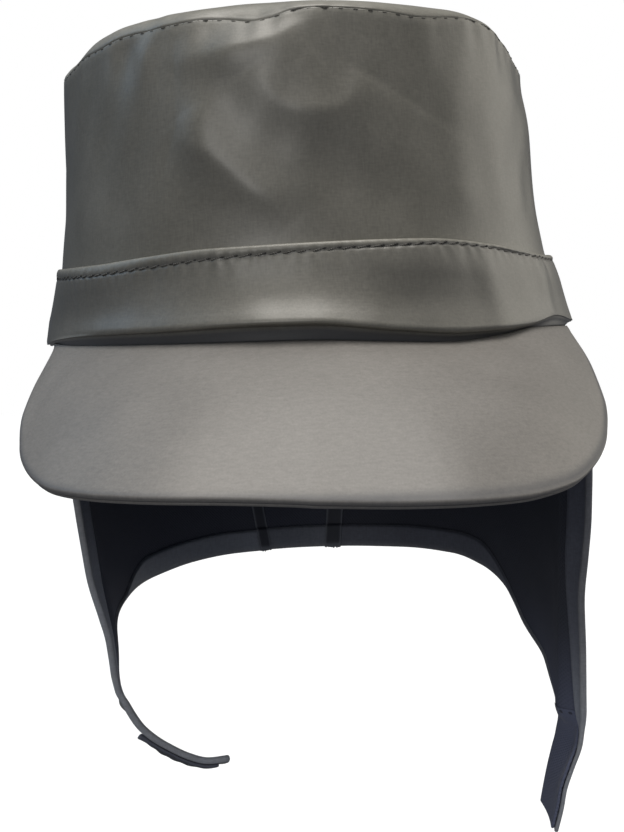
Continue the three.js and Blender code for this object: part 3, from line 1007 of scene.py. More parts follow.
@dataclass(frozen=True)
class CoatedFinish:
    """Cloth with a rubbery coating: a satin sheen, fine grain, slow clouds, and folds and edges tinted by
    painted light with some wear.
    """

    name: str
    tone: tuple[float, float, float]
    cloud_tone: tuple[float, float, float]
    light_and_wear_tone: tuple[float, float, float]
    # Dark tone of the grime mark: painted shade in grooves and recesses and on the band's sides, with some
    # dirt at seams
    shade_and_dirt_tone: tuple[float, float, float] = (0.036, 0.038, 0.045)
    roughness: float = 0.44
    grain_depth: float = 0.00009
    creases: float = 0.5
    wear: float = 0.6
    ior: float = 1.47
    thread_contrast: float = 0.7
    # Tone of the fade mark: painted light low on the curtain
    faded_tone: tuple[float, float, float] = (0.36, 0.385, 0.44)

    def build(self, effects: Effects) -> Material:
        """Makes the material.

        Args:
            effects: Shared shader groups.

        Returns:
            Material of this finish.
        """
        material, n, shader = new_material(self.name)
        place = n.add("ShaderNodeTexCoord").outputs["Object"]
        grain = n.add("ShaderNodeGroup", node_tree=effects.grain, Creases=self.creases)
        n.link(place, grain.inputs["Vector"])
        lit_and_worn = n.add("ShaderNodeGroup", node_tree=effects.wear, Amount=self.wear)
        n.link(place, lit_and_worn.inputs["Vector"])
        n.link(n.mark("wear"), lit_and_worn.inputs["Mark"])
        clouds = n.math("MULTIPLY_ADD", grain.outputs["Cloud"], 3.0, -1.0)
        clouds = n.math("MINIMUM", n.math("MAXIMUM", clouds, 0.0), 1.0)
        colour = n.mix_colour(clouds, (*self.tone, 1.0), (*self.cloud_tone, 1.0))
        # Painted light lower down the curtain, by the fade mark
        colour = n.mix_colour(n.mark("fade"), colour, (*self.faded_tone, 1.0))
        # Painted highlight on the rolled rim, the band's lip and the curtain's edges, painted shade on the
        # peak's edge, with some wear
        colour = n.mix_colour(lit_and_worn.outputs["Mask"], colour, (*self.light_and_wear_tone, 1.0))
        level = 1.0 - self.thread_contrast / 2
        shade = n.math("MULTIPLY_ADD", grain.outputs["Thread"], self.thread_contrast, level)
        colour = n.mix_colour(1.0, colour, shade, "MULTIPLY")
        # Painted shade: the grime mark darkens seam grooves, the recess under the band, the band's sides and
        # the peak's edge, with some dirt
        colour = n.mix_colour(n.math("MULTIPLY", n.mark("grime"), 0.85), colour, (*self.shade_and_dirt_tone, 1.0))
        n.link(colour, shader.inputs["Base Color"])
        rough = n.math("MULTIPLY_ADD", grain.outputs["Cloud"], 0.12, self.roughness - 0.06)
        n.link(n.math("MULTIPLY_ADD", lit_and_worn.outputs["Mask"], 0.1, rough), shader.inputs["Roughness"])
        n.emboss(shader, grain.outputs["Height"], self.grain_depth)
        shader.inputs["IOR"].default_value = self.ior
        return material


@dataclass(frozen=True)
class WovenFinish:
    """Dull woven face or tape, with its threads along the cloth."""

    name: str
    tone: tuple[float, float, float]
    thread_tone: tuple[float, float, float]
    roughness: float = 0.8
    threads_per_m: float = 1500.0
    weave_depth: float = 0.00012
    sheen: float = 0.0
    # Tone of the fade mark: painted light low on the curtain, and on a seam tape the paler tone of its cut
    # edges and end
    faded_tone: tuple[float, float, float] = (0.14, 0.155, 0.23)

    def build(self, effects: Effects) -> Material:
        """Makes the material.

        Args:
            effects: Shared shader groups.

        Returns:
            Material of this finish.
        """
        material, n, shader = new_material(self.name)
        weave = n.add("ShaderNodeGroup", node_tree=effects.weave, Threads_per_m=self.threads_per_m)
        n.link(n.add("ShaderNodeTexCoord").outputs["UV"], weave.inputs["Vector"])
        mask = n.math("MULTIPLY", weave.outputs["Height"], weave.outputs["Thread"])
        colour = n.mix_colour(mask, (*self.tone, 1.0), (*self.thread_tone, 1.0))
        # Painted light low on the curtain; on a tape, its paler cut edges and end
        n.link(n.mix_colour(n.mark("fade"), colour, (*self.faded_tone, 1.0)), shader.inputs["Base Color"])
        rough = n.math("MULTIPLY_ADD", weave.outputs["Thread"], 0.14, self.roughness - 0.07)
        n.link(rough, shader.inputs["Roughness"])
        n.emboss(shader, weave.outputs["Height"], self.weave_depth)
        shader.inputs["Sheen Weight"].default_value = self.sheen
        shader.inputs["Sheen Roughness"].default_value = 0.5
        return material


@dataclass
class Wardrobe:
    """Every material of the cap."""

    outer: Material
    peak: Material
    inner: Material
    hem: Material
    tape: Material
    hooks: Material
    loops: Material
    thread: Material
    hole: Material

    def curtain(self) -> list[Material]:
        """Materials of the curtain's cloth, in the order of the faces' slots."""
        return [self.outer, self.inner, self.hem]

    @staticmethod
    def build() -> "Wardrobe":
        """Builds the materials from their finishes.

        Returns:
            Wardrobe of all materials.
        """
        effects = Effects.build()
        finishes = dict(
            outer=CoatedFinish(
                "coated_cloth", (0.15, 0.144, 0.122), (0.19, 0.182, 0.156), (0.3, 0.29, 0.25),
                roughness=0.4, ior=1.62,
            ),
            # The peak's wear tone is dark: it paints shade along the peak's edge
            peak=CoatedFinish(
                "coated_peak_cloth", (0.175, 0.165, 0.152), (0.195, 0.184, 0.17), (0.1, 0.1, 0.105),
                roughness=0.5, grain_depth=0.00006, creases=0.25, ior=1.55,
            ),
            # The hem is the outer cloth turned in: its darker, bluer tone is painted shade under cool light,
            # and its light wear tone a painted highlight on the rolled edges
            hem=CoatedFinish(
                "coated_hem_shaded_cool", (0.112, 0.12, 0.15), (0.128, 0.136, 0.168), (0.3, 0.3, 0.3), roughness=0.5,
            ),
            inner=WovenFinish("woven_inner_face", (0.045, 0.049, 0.065), (0.064, 0.07, 0.092)),
            tape=WovenFinish(
                "seam_tape_cloth", (0.036, 0.04, 0.053), (0.052, 0.057, 0.075),
                roughness=0.55, threads_per_m=2200.0, weave_depth=0.00004, faded_tone=(0.2, 0.21, 0.24),
            ),
            hooks=WovenFinish(
                "hook_tape_cloth", (0.045, 0.048, 0.062), (0.075, 0.08, 0.1), roughness=0.6,
                threads_per_m=900.0, faded_tone=(0.11, 0.118, 0.15),
            ),
            loops=WovenFinish(
                "loop_tape_cloth", (0.05, 0.056, 0.085), (0.066, 0.074, 0.11), roughness=0.95,
                threads_per_m=1100.0, weave_depth=0.0001, sheen=0.1, faded_tone=(0.14, 0.157, 0.235),
            ),
            thread=WovenFinish(
                "sewing_thread", (0.085, 0.081, 0.073), (0.12, 0.114, 0.102), roughness=0.6,
                threads_per_m=3000.0,
            ),
            # Dark needle holes: painted shade of each hole's pit
            hole=WovenFinish(
                "needle_hole_shade", (0.05, 0.048, 0.045), (0.065, 0.063, 0.058), roughness=0.9,
                threads_per_m=3000.0,
            ),
        )
        return Wardrobe(**{name: finish.build(effects) for name, finish in finishes.items()})


def dress(piece: Object, slot: str | None, *nodes: str) -> Object:
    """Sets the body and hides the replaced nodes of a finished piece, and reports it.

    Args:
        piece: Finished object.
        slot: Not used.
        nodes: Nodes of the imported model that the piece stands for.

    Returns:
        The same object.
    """
    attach(piece, BODY)
    if nodes:
        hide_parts(*nodes)
    log.info("%s: %d faces", piece.name, len(piece.data.polygons))
    return piece


@dataclass(frozen=True)
class Stitching:
    """Row of equal stitches along a line of the cloth. A tip is its length and its narrowing."""

    name: str
    pitch: float
    length: float
    width: float
    slant: float
    hole: float
    height: float = 0.4
    straight_share: float = 0.55
    tips: tuple[tuple[float, float], ...] = ((0.14, 0.82), (0.085, 0.55))
    tip_sink: float = 0.12
    hole_sink: float = 0.1
    hole_shape: tuple[float, float, float] = (1.35, 0.62, 0.45)
    slant_spread: float = 2.0
    stretch_spread: float = 0.04

    def one_stitch(self) -> tuple[Array, list[tuple[int, ...]], Array]:
        """Models one stitch along X with operators, and the needle hole at its end.

        Returns:
            Its points in mm, its faces and the material slot of each.
        """
        bpy.ops.object.select_all(action="DESELECT")
        bpy.ops.mesh.primitive_cylinder_add(
            vertices=8, radius=self.width / 2, depth=self.length * self.straight_share,
            rotation=(0.0, math.pi / 2, 0.0),
        )
        stitch = bpy.context.object
        bpy.ops.object.transform_apply(location=True, rotation=True, scale=True)
        bpy.ops.object.mode_set(mode="EDIT")
        for end in (-1, 1):
            for reach, thinner in self.tips:
                move = (end * self.length * reach, 0.0, -self.tip_sink * self.height)
                bpy.ops.mesh.select_all(action="DESELECT")
                bpy.ops.object.mode_set(mode="OBJECT")
                far = max(end * v.co.x for v in stitch.data.vertices)
                for v in stitch.data.vertices:
                    v.select = end * v.co.x > far - 1e-4
                bpy.ops.object.mode_set(mode="EDIT")
                bpy.ops.mesh.select_mode(type="VERT")
                bpy.ops.mesh.extrude_region_move(TRANSFORM_OT_translate={"value": move})
                bpy.ops.transform.resize(value=(1.0, thinner, thinner))
        bpy.ops.mesh.select_all(action="SELECT")
        flatter = (1.0, 1.0, self.height / self.width)
        bpy.ops.transform.resize(value=flatter, center_override=(0.0, 0.0, 0.0))
        bpy.ops.mesh.normals_make_consistent(inside=False)
        bpy.ops.object.mode_set(mode="OBJECT")
        # A dark ellipsoid at the stitch's end paints the shade in the needle hole
        bpy.ops.mesh.primitive_uv_sphere_add(
            segments=10, ring_count=6, radius=self.hole, location=(self.pitch / 2, 0.0, -self.hole_sink),
            scale=self.hole_shape,
        )
        hole = bpy.context.object
        bpy.ops.object.transform_apply(location=True, rotation=True, scale=True)
        points, faces, slots = [], [], []
        for slot, piece in enumerate((stitch, hole)):
            start = len(points)
            points += [tuple(v.co) for v in piece.data.vertices]
            faces += [tuple(start + k for k in p.vertices) for p in piece.data.polygons]
            slots += [slot] * len(piece.data.polygons)
            bpy.data.objects.remove(piece, do_unlink=True)
        return np.array(points, float), faces, np.array(slots)

    def along(self, places: Array, out: Array, wardrobe: Wardrobe) -> Object:
        """Copies the stitch to every place of a closed line and joins the copies to one piece.

        Args:
            places: Middle of each stitch in mm.
            out: Unit normal of the cloth at each stitch.
            wardrobe: Materials of the thread and of the needle holes.

        Returns:
            Joined piece.
        """
        base, faces, slots = self.one_stitch()
        ahead = np.roll(places, -1, axis=0) - np.roll(places, 1, axis=0)
        ahead = ahead / np.linalg.norm(ahead, axis=1, keepdims=True)
        dice = np.random.default_rng(SEED)
        slant = np.radians(self.slant + dice.normal(0.0, self.slant_spread, len(places)))
        stretch = 1.0 + dice.normal(0.0, self.stretch_spread, len(places))
        side = np.cross(out, ahead)
        side /= np.linalg.norm(side, axis=1, keepdims=True)
        along = ahead * np.cos(slant)[:, None] + side * np.sin(slant)[:, None]
        across = np.cross(out, along)
        points = (
            places[:, None, :]
            + base[None, :, 0:1] * stretch[:, None, None] * along[:, None, :]
            + base[None, :, 1:2] * across[:, None, :]
            + base[None, :, 2:3] * out[:, None, :]
        ).reshape(-1, 3)
        copies = [tuple(i * len(base) + k for k in face) for i in range(len(places)) for face in faces]
        corner = np.array([k for face in copies for k in face])
        uv = np.tile(base[:, :2], (len(places), 1))[corner]
        materials = (wardrobe.thread, wardrobe.hole)
        return place_mesh(self.name, points, copies, uv, np.tile(slots, len(places)), materials)


def round_turns(count: int) -> tuple[Array, Array]:
    """Azimuths of even steps round the cap, and distances in mm with one more to close the ring."""
    turns = np.linspace(0.0, 360.0, count + 1)
    return turns[:-1, None], turns[:, None] * MM_PER_DEGREE


@dataclass
class Crown:
    """Soft side wall and oval top panel, joined by a stitched seam under the rolled rim."""

    form: CapForm
    wardrobe: Wardrobe
    around: int = 640
    wall_rows: int = 76
    lip_rows: int = 26
    inner_rows: int = 20
    fine_shares: tuple[float, float] = (0.92, 0.925)
    edge_share: float = 1.004
    edge_inset: float = 0.6
    seam_groove: float = 0.14
    seam_reach: float = 0.45
    # Painted highlight on the bulge just below the rim seam
    seam_highlight: float = 0.5
    seam_highlight_below: float = 1.2
    seam_highlight_reach: float = 0.8
    # Painted shade with some dirt in the groove of the rim seam
    seam_shade_and_dirt: float = 0.08
    seam_shade_reach: float = 0.2
    seam_line: tuple[LinePoint, ...] = table(
        LinePoint, (-180, 88.9), (-120, 88.6), (-80, 87.6), (-63, 87.2), (-49, 86.9), (-41, 88.1),
        (-33, 88.0), (-22, 88.6), (-16, 87.8), (-9, 86.6), (-5.5, 87.2), (0, 89.3), (5, 89.8),
        (12, 89.5), (20, 89.0), (28, 88.3), (35, 89.1), (42, 89.8), (60, 89.4), (110, 88.9),
        (150, 89.3), (180, 88.9),
    )
    pucker: Ripple = Ripple(SEED + 1, 10, 40, 80, 60.0, 0.1)
    pucker_reach: float = 5.0
    stitch_pitch: float = 4.5
    stitch_sink: float = 0.12
    rim_rise: float = 3.6
    rim_puff: float = 0.6
    rim_puff_share: float = 0.3
    # Painted highlight on the upper face of the rolled rim
    rim_highlight_share: float = 0.7
    rim_highlight_reach: float = 0.35
    # Reach of the painted shade with some dirt at the foot of the rolled rim
    rim_shade_reach: float = 0.05
    rim_edge: tuple[tuple[float, float], ...] = (
        (0.9, -0.05), (0.45, 0.0), (0.22, 0.08), (0.5, 0.22), (1.3, 0.42),
        (2.3, 0.63), (3.5, 0.82), (4.8, 0.96), (6.4, 1.02), (9.0, 0.98),
    )
    rim_points_across: int = 30
    rim_tuck: tuple[tuple[float, float], ...] = ((0.7, -0.15), (3.0, 0.25))
    panel_rises: tuple[tuple[float, float], ...] = (
        (0.0, 1.9), (0.11, 2.2), (0.34, 3.0), (0.62, 3.4), (1.0, 3.5),
    )
    panel_ripple: Ripple = Ripple(SEED + 2, 6, 2, 5, 70.0, 0.7)
    panel_reach: float = 60.0
    panel_calm: float = 0.3
    panel_rings: int = 34

    def side(self) -> Object:
        """Builds the side wall, from the foot behind the band to the seam under the rim.

        Returns:
            Side wall.
        """
        form = self.form
        azimuth, turns = round_turns(self.around)
        top = line_height(self.seam_line, azimuth)
        coarse = np.linspace(0.0, self.fine_shares[0], self.wall_rows)
        fine = np.linspace(self.fine_shares[1], 1.0, self.lip_rows)
        outer = np.concatenate([coarse, fine])
        inner = np.linspace(1.0, 0.0, self.inner_rows)
        shares = np.concatenate([outer, [self.edge_share], inner, [0.0]])[None, :]
        edge = [-self.edge_inset]
        outward = np.concatenate([np.zeros(len(outer)), edge, np.full(len(inner), -CLOTH), edge])
        face = np.concatenate([np.ones(len(outer) + 1), np.zeros(len(inner) + 1)])
        height = top * shares
        near_seam = bell((height - top) / self.pucker_reach)
        drawn = self.seam_groove * bell((height - top) / self.seam_reach)
        offset = outward - face * (drawn + near_seam * self.pucker.at(azimuth, 0 * height))
        sections = form.wall(azimuth, height, offset)
        uv = np.stack(np.broadcast_arrays(turns, form.wall_height * shares), axis=-1)
        slots = np.where(face > 0, int(Face.OUTER), int(Face.INNER))
        # Painted highlight on the bulge below the seam
        lit_and_worn = bell((top - self.seam_highlight_below - height) / self.seam_highlight_reach)
        marks = {
            "wear": self.seam_highlight * face * lit_and_worn,
            # Painted shade with some dirt along the seam groove
            "grime": self.seam_shade_and_dirt * face * bell((height - top) / self.seam_shade_reach),
        }
        mesh = ring_mesh(sections, uv, slots, marks)
        return mesh.to_object("crown_side_wall", [self.wardrobe.outer, self.wardrobe.inner])

    def rim_points(self, azimuth: Array, inset: Array, share: Array) -> Array:
        """Points of the rolled rim.

        Args:
            azimuth: Azimuth of each point.
            inset: Distance inside the wall in mm.
            share: Share of the way up from the seam to the top of the rim.

        Returns:
            Points in mm.
        """
        form = self.form
        rise = between(line_height(self.seam_line, azimuth) - form.wall_height, self.rim_rise, share)
        points = form.wall(azimuth, form.wall_height + np.minimum(rise, 0.0), -inset)
        points[..., 2] += np.maximum(rise, 0.0)
        return points

    def top(self) -> Object:
        """Builds the top panel, from its middle over the rolled rim and back underneath.

        Returns:
            Top panel.
        """
        form = self.form
        azimuth, _ = round_turns(self.around)
        edge = smooth_path(self.rim_edge, self.rim_points_across)
        inset, share = edge[None, :, 0], edge[None, :, 1]
        puffed = bell((share - self.rim_puff_share) / self.rim_puff_share)
        puffed = puffed * self.pucker.at(azimuth, 0 * share)
        rim = self.rim_points(azimuth, inset - self.rim_puff * puffed, share)
        seam = form.wall(azimuth, form.wall_height, 0.0)
        radius = np.linalg.norm(seam[..., :2], axis=-1)
        share_edge = 1.0 - self.rim_edge[-1][0] / radius
        inward = np.linspace(0.0, 1.0, self.panel_rings + 1)[1:-1][None, :]
        rises = np.array(self.panel_rises)
        panel_rise = np.interp(inward, rises[:, 0], rises[:, 1])

        def panel(extra: float) -> Array:
            """Rings of the panel from its rim to near its middle, raised by some mm."""
            scale = share_edge * (1.0 - inward)
            height = between(form.wall_height, seam[..., 2], (1.0 - inward) ** 2) + panel_rise + extra
            loose = ramp(inward, 0.0, self.panel_calm) * (1.0 - inward)
            sway = loose * self.panel_ripple.at(azimuth, self.panel_reach * inward)
            return np.stack([seam[..., 0] * scale, seam[..., 1] * scale, height - sway], axis=-1)

        over, under = panel(0.0), panel(-CLOTH)
        folded = np.array(self.rim_tuck)[None]
        tuck = self.rim_points(azimuth, CLOTH + folded[..., 0], folded[..., 1])
        sections = np.concatenate([under[:, ::-1], tuck[:, ::-1], rim, over], axis=1)
        under_count, rim_count = under.shape[1] + 2, rim.shape[1]
        places = np.arange(sections.shape[1])
        slots = np.where(places < under_count, int(Face.INNER), int(Face.OUTER))
        wear, grime = np.zeros(sections.shape[:2]), np.zeros(sections.shape[:2])
        rolled = slice(under_count, under_count + rim_count)
        # Painted highlight on top of the rolled rim
        wear[:, rolled] = bell((share - self.rim_highlight_share) / self.rim_highlight_reach)
        # Painted shade with some dirt where the rolled rim meets the seam
        grime[:, rolled] = self.seam_shade_and_dirt * bell(share / self.rim_shade_reach)
        uv = np.concatenate([sections[..., :2], sections[:1, :, :2]], axis=0)
        middle = np.array([0.0, 0.0, form.wall_height + self.panel_rises[-1][1]])
        poles = (middle - [0, 0, CLOTH], middle)
        mesh = ring_mesh(sections, uv, slots, {"wear": wear, "grime": grime}, poles)
        return mesh.to_object("crown_top_panel", [self.wardrobe.outer, self.wardrobe.inner])

    def seam_stitches(self) -> Object:
        """Sews the stitches in the groove under the rolled rim.

        Returns:
            Row of stitches.
        """
        form = self.form
        azimuth = form.even_azimuths(form.wall_height, self.stitch_pitch)
        height = line_height(self.seam_line, azimuth) - self.stitch_sink
        places = form.wall(azimuth, height, -self.stitch_sink)
        out = form.level_normal(azimuth, form.wall_height)
        stitching = Stitching(
            "crown_rim_stitching", self.stitch_pitch, length=1.7, width=0.2, slant=0.0, hole=0.1,
        )
        return stitching.along(places, out, self.wardrobe)

    def build(self) -> None:
        side = dress(self.side(), "coated_cloth", "crown_side")
        top = dress(self.top(), "coated_cloth", "crown_top")
        stitches = dress(self.seam_stitches(), None)


@dataclass
class Band:
    """Band sewn round the foot of the crown, with a stitched lip above and a curled edge below."""

    form: CapForm
    wardrobe: Wardrobe
    around: int = 900
    section_points: int = 52
    section_pitch: float = 0.9
    stitch_pitch: float = 4.0
    stitch_level: float = 24.0
    stitch_sink: float = 0.22
    top_line: tuple[LinePoint, ...] = table(
        LinePoint, (-180, 24.2), (-110, 24.0), (-85, 23.6), (-60, 22.2), (-48, 22.0), (-32, 23.0),
        (-20, 24.0), (-5, 24.4), (15, 25.0), (26, 25.2), (41, 23.9), (53, 22.3), (66, 21.6), (90, 23.4),
        (130, 24.2), (180, 24.2),
    )
    foot_line: tuple[LinePoint, ...] = table(
        LinePoint, (-180, 0.6), (-105, 0.6), (-88, -1.0), (-76, -1.2), (-64, 0.2), (-50, 1.0),
        (-30, 1.2), (-8, 2.0), (0, 1.9), (16, -0.5), (28, -1.8), (38, -1.4), (48, 0.2), (60, 2.6),
        (72, 1.2), (95, 0.6), (180, 0.6),
    )
    recess_line: tuple[LinePoint, ...] = table(
        LinePoint, (-180, 0.2), (-74, 0.2), (-66, -1.2), (-52, -2.4), (0, -2.8), (15, -3.9), (27, -4.6),
        (38, -3.4), (50, -1.2), (66, -1.0), (74, 0.2), (180, 0.2),
    )
    stitch_drops: tuple[LinePoint, ...] = table(
        LinePoint, (-180, 2.8), (-30, 3.2), (-12, 2.8), (0, 2.3), (20, 1.8), (31, 1.35), (42, 1.2),
        (70, 1.4), (120, 2.8), (180, 2.8),
    )
    folds: tuple[Fold, ...] = table(
        Fold, (-4, 1.5, 18, 4.4, 0, -1.5), (-3, 13, 12, 4, 0, 0.5), (24, 19, 16, 5, 0, -1.2),
        (24, 8, 17, 5, 0, 1.3), (-50, 19, 20, 6, 0, -1.1), (-50, 8, 20, 6, 0, 1.1),
        (64, 17, 14, 5, 0, -0.6), (64, 8, 14, 5, 0, 0.7), (-26, 15, 16, 5, 0, 0.35),
        (38, 12, 3.5, 12, 0, -0.45), (58, 12, 3.5, 12, 0, -0.5), (48, 12, 5, 12, 0, 0.4),
        (-60, 12, 8, 9, 15, 0.3), (88, 14, 20, 10, 0, 0.4),
    )
    flare_loss: float = 0.95
    flare_turns: tuple[float, float] = (34.0, 62.0)
    flare_below: float = 2.0
    left_draw: float = 1.0
    draw_azimuth: float = -93.0
    draw_across: float = 15.0
    recess_outward: tuple[float, ...] = (1.0, 0.55, 0.3, 0.2, 0.1)
    recess_top: float = 0.35
    recess_least: float = 0.5
    back_rise: float = 0.6
    scallop: float = 0.12
    scallop_reach: float = 1.3
    pucker_below: float = 1.0
    pucker_reach: float = 3.5
    # Painted shade: the band's sides darken away from its lit front, the recess under its foot darkens, and
    # its stitch line gets painted shade with some dirt
    side_shade: float = 0.3
    lit_azimuth: float = -4.0
    lit_across: float = 14.0
    stitch_shade_and_dirt: float = 0.35
    stitch_shade_reach: float = 0.3
    foot_shade_rise: float = 0.8
    # Painted highlight on the band's rolled lip
    lip_highlight_below: float = 0.3
    lip_highlight_reach: float = 0.55
    ripple: Ripple = Ripple(SEED + 3, 12, 12, 44, 60.0, 0.08)
    pucker: Ripple = Ripple(SEED + 4, 10, 50, 100, 90.0, 0.05)

    def section(self) -> Array:
        """Section of the band from the foot of its back, over the lip to the foot of its face.

        Returns:
            Row of BandPoint values for each place.
        """
        face = GAP + BAND_CLOTH
        corners = table(
            BandPoint, (GAP, 0.04), (GAP, 0.3), (GAP, 0.6), (GAP, 0.9), (GAP, 1.0, -0.3),
            (GAP + 0.45, 1.0, -0.04), (face - 0.35, 1.0), (face + 0.1, 1.0, -0.18),
            (face + 0.16, 1.0, -0.48), (face - 0.02, 1.0, -0.8), (face - 0.3, 1.0, -1.0),
            (face - 0.15, 1.0, -1.0, -0.8), (face - 0.05, 1.0, -1.0, -2.6), (face + 0.1, 0.62),
            (face + 0.4, 0.42), (face + 0.9, 0.26), (face + 1.5, 0.0, 0.0, 2.9),
            (face + 1.75, 0.0, 0.0, 1.5), (face + 1.5, 0.0, 0.0, 0.6), (face + 0.7, 0.0, 0.0, 0.05),
            (face - 0.5, 0.0),
        )
        return smooth_path(corners, self.section_points)

    def stitch_height(self, azimuth: Array) -> Array:
        """Height of the stitch line below the lip."""
        return line_height(self.top_line, azimuth) - line_height(self.stitch_drops, azimuth)

    def relief(self, azimuth: Array, height: Array) -> Array:
        """Depth of the band's folds, which die out at its lip and its foot.

        Args:
            azimuth, height: Places on the wall.

        Returns:
            Inward depth in mm.
        """
        top, foot = line_height(self.top_line, azimuth), line_height(self.foot_line, azimuth)
        body = ramp(height, foot - 0.5, foot + 0.8) * ramp(height, top, self.stitch_height(azimuth) - 1.0)
        return (fold_depth(self.folds, azimuth, height) + self.ripple.at(azimuth, height)) * body

    def drawn(self, azimuth: Array) -> Array:
        """Depth by which the band hugs the crown more at its left side."""
        return self.left_draw * bell(turn_between(self.draw_azimuth, azimuth) / self.draw_across)

    def cloth(self) -> Object:
        """Builds the band, with the recessed seam below its rolled foot.

        Returns:
            Band.
        """
        section = self.section()
        azimuth, turns = round_turns(self.around)
        top, foot = line_height(self.top_line, azimuth), line_height(self.foot_line, azimuth)
        drop, seam = line_height(self.stitch_drops, azimuth), self.stitch_height(azimuth)
        height = between(foot, top, section[None, :, 1]) + section[None, :, 2] * drop + section[None, :, 3]
        outward = np.broadcast_to(section[None, :, 0], height.shape)
        recess = np.linspace(0.0, 1.0, len(self.recess_outward))[None, :]
        low = np.minimum(line_height(self.recess_line, azimuth), foot - self.recess_least)
        under_out = np.array([self.recess_outward]) + 0 * low
        under_height = between(foot - self.recess_top, low, recess)
        back_height = between(low, foot + self.back_rise, np.array([[0.0, 0.5, 1.0]]))
        outward = np.concatenate([outward, GAP + under_out, GAP + 0 * back_height], axis=1)
        height = np.concatenate([height, under_height, back_height], axis=1)
        outward = outward - self.drawn(azimuth) * ramp(outward, GAP, GAP + BAND_CLOTH)
        flare = np.maximum(outward - GAP - BAND_CLOTH, 0.0) * (height < seam - self.flare_below)
        beside = ramp(np.abs(turn_between(0.0, azimuth)), *self.flare_turns)
        outward = outward - flare * self.flare_loss * beside
        front = ramp(outward, GAP + 0.2, GAP + BAND_CLOTH)
        stitches = len(self.form.even_azimuths(top.mean(), self.stitch_pitch))
        waves = np.cos(np.radians(azimuth) * stitches)
        scallop = self.scallop * waves * bell((height - seam) / self.scallop_reach)
        near_seam = bell((height - seam + self.pucker_below) / self.pucker_reach)
        pulled = self.pucker.at(azimuth, 0 * height) * near_seam
        dented = self.relief(azimuth, height) + pulled + scallop
        sections = self.form.oval(azimuth, height, outward - front * dented)
        count = sections.shape[1]
        uv = np.stack(np.broadcast_arrays(turns, np.arange(count)[None, :] * self.section_pitch), axis=-1)
        # Painted shade on the band's sides away from the lit front, in the recess below the foot, and at the
        # stitch line with some dirt
        off_lit = 1.0 - bell(turn_between(self.lit_azimuth, azimuth) / self.lit_across)
        side_shaded = self.side_shade * front * off_lit * ramp(height, top, seam)
        at_foot = ramp(height, foot, foot - self.foot_shade_rise)
        at_seam = front * bell((height - seam) / self.stitch_shade_reach) * self.stitch_shade_and_dirt
        marks = {
            # Painted highlight on the rolled lip
            "wear": front * bell((height - top + self.lip_highlight_below) / self.lip_highlight_reach),
            "grime": at_seam + np.maximum(side_shaded, at_foot),
        }
        slots = np.full(count, int(Face.OUTER))
        return ring_mesh(sections, uv, slots, marks).to_object("crown_band", [self.wardrobe.outer])

    def stitches(self) -> Object:
        """Sews the stitches below the band's lip.

        Returns:
            Row of stitches.
        """
        azimuth = self.form.even_azimuths(self.stitch_level, self.stitch_pitch)
        seam = self.stitch_height(azimuth)
        sunk = self.stitch_sink + self.relief(azimuth, seam) + self.drawn(azimuth)
        places = self.form.oval(azimuth, seam, GAP + BAND_CLOTH - sunk)
        out = self.form.level_normal(azimuth, seam)
        stitching = Stitching(
            "band_stitching", self.stitch_pitch, length=2.8, width=0.5, slant=9.0, hole=0.58,
        )
        return stitching.along(places, out, self.wardrobe)

    def build(self) -> None:
        cloth = dress(self.cloth(), "coated_cloth", "band")
        stitches = dress(self.stitches(), None)


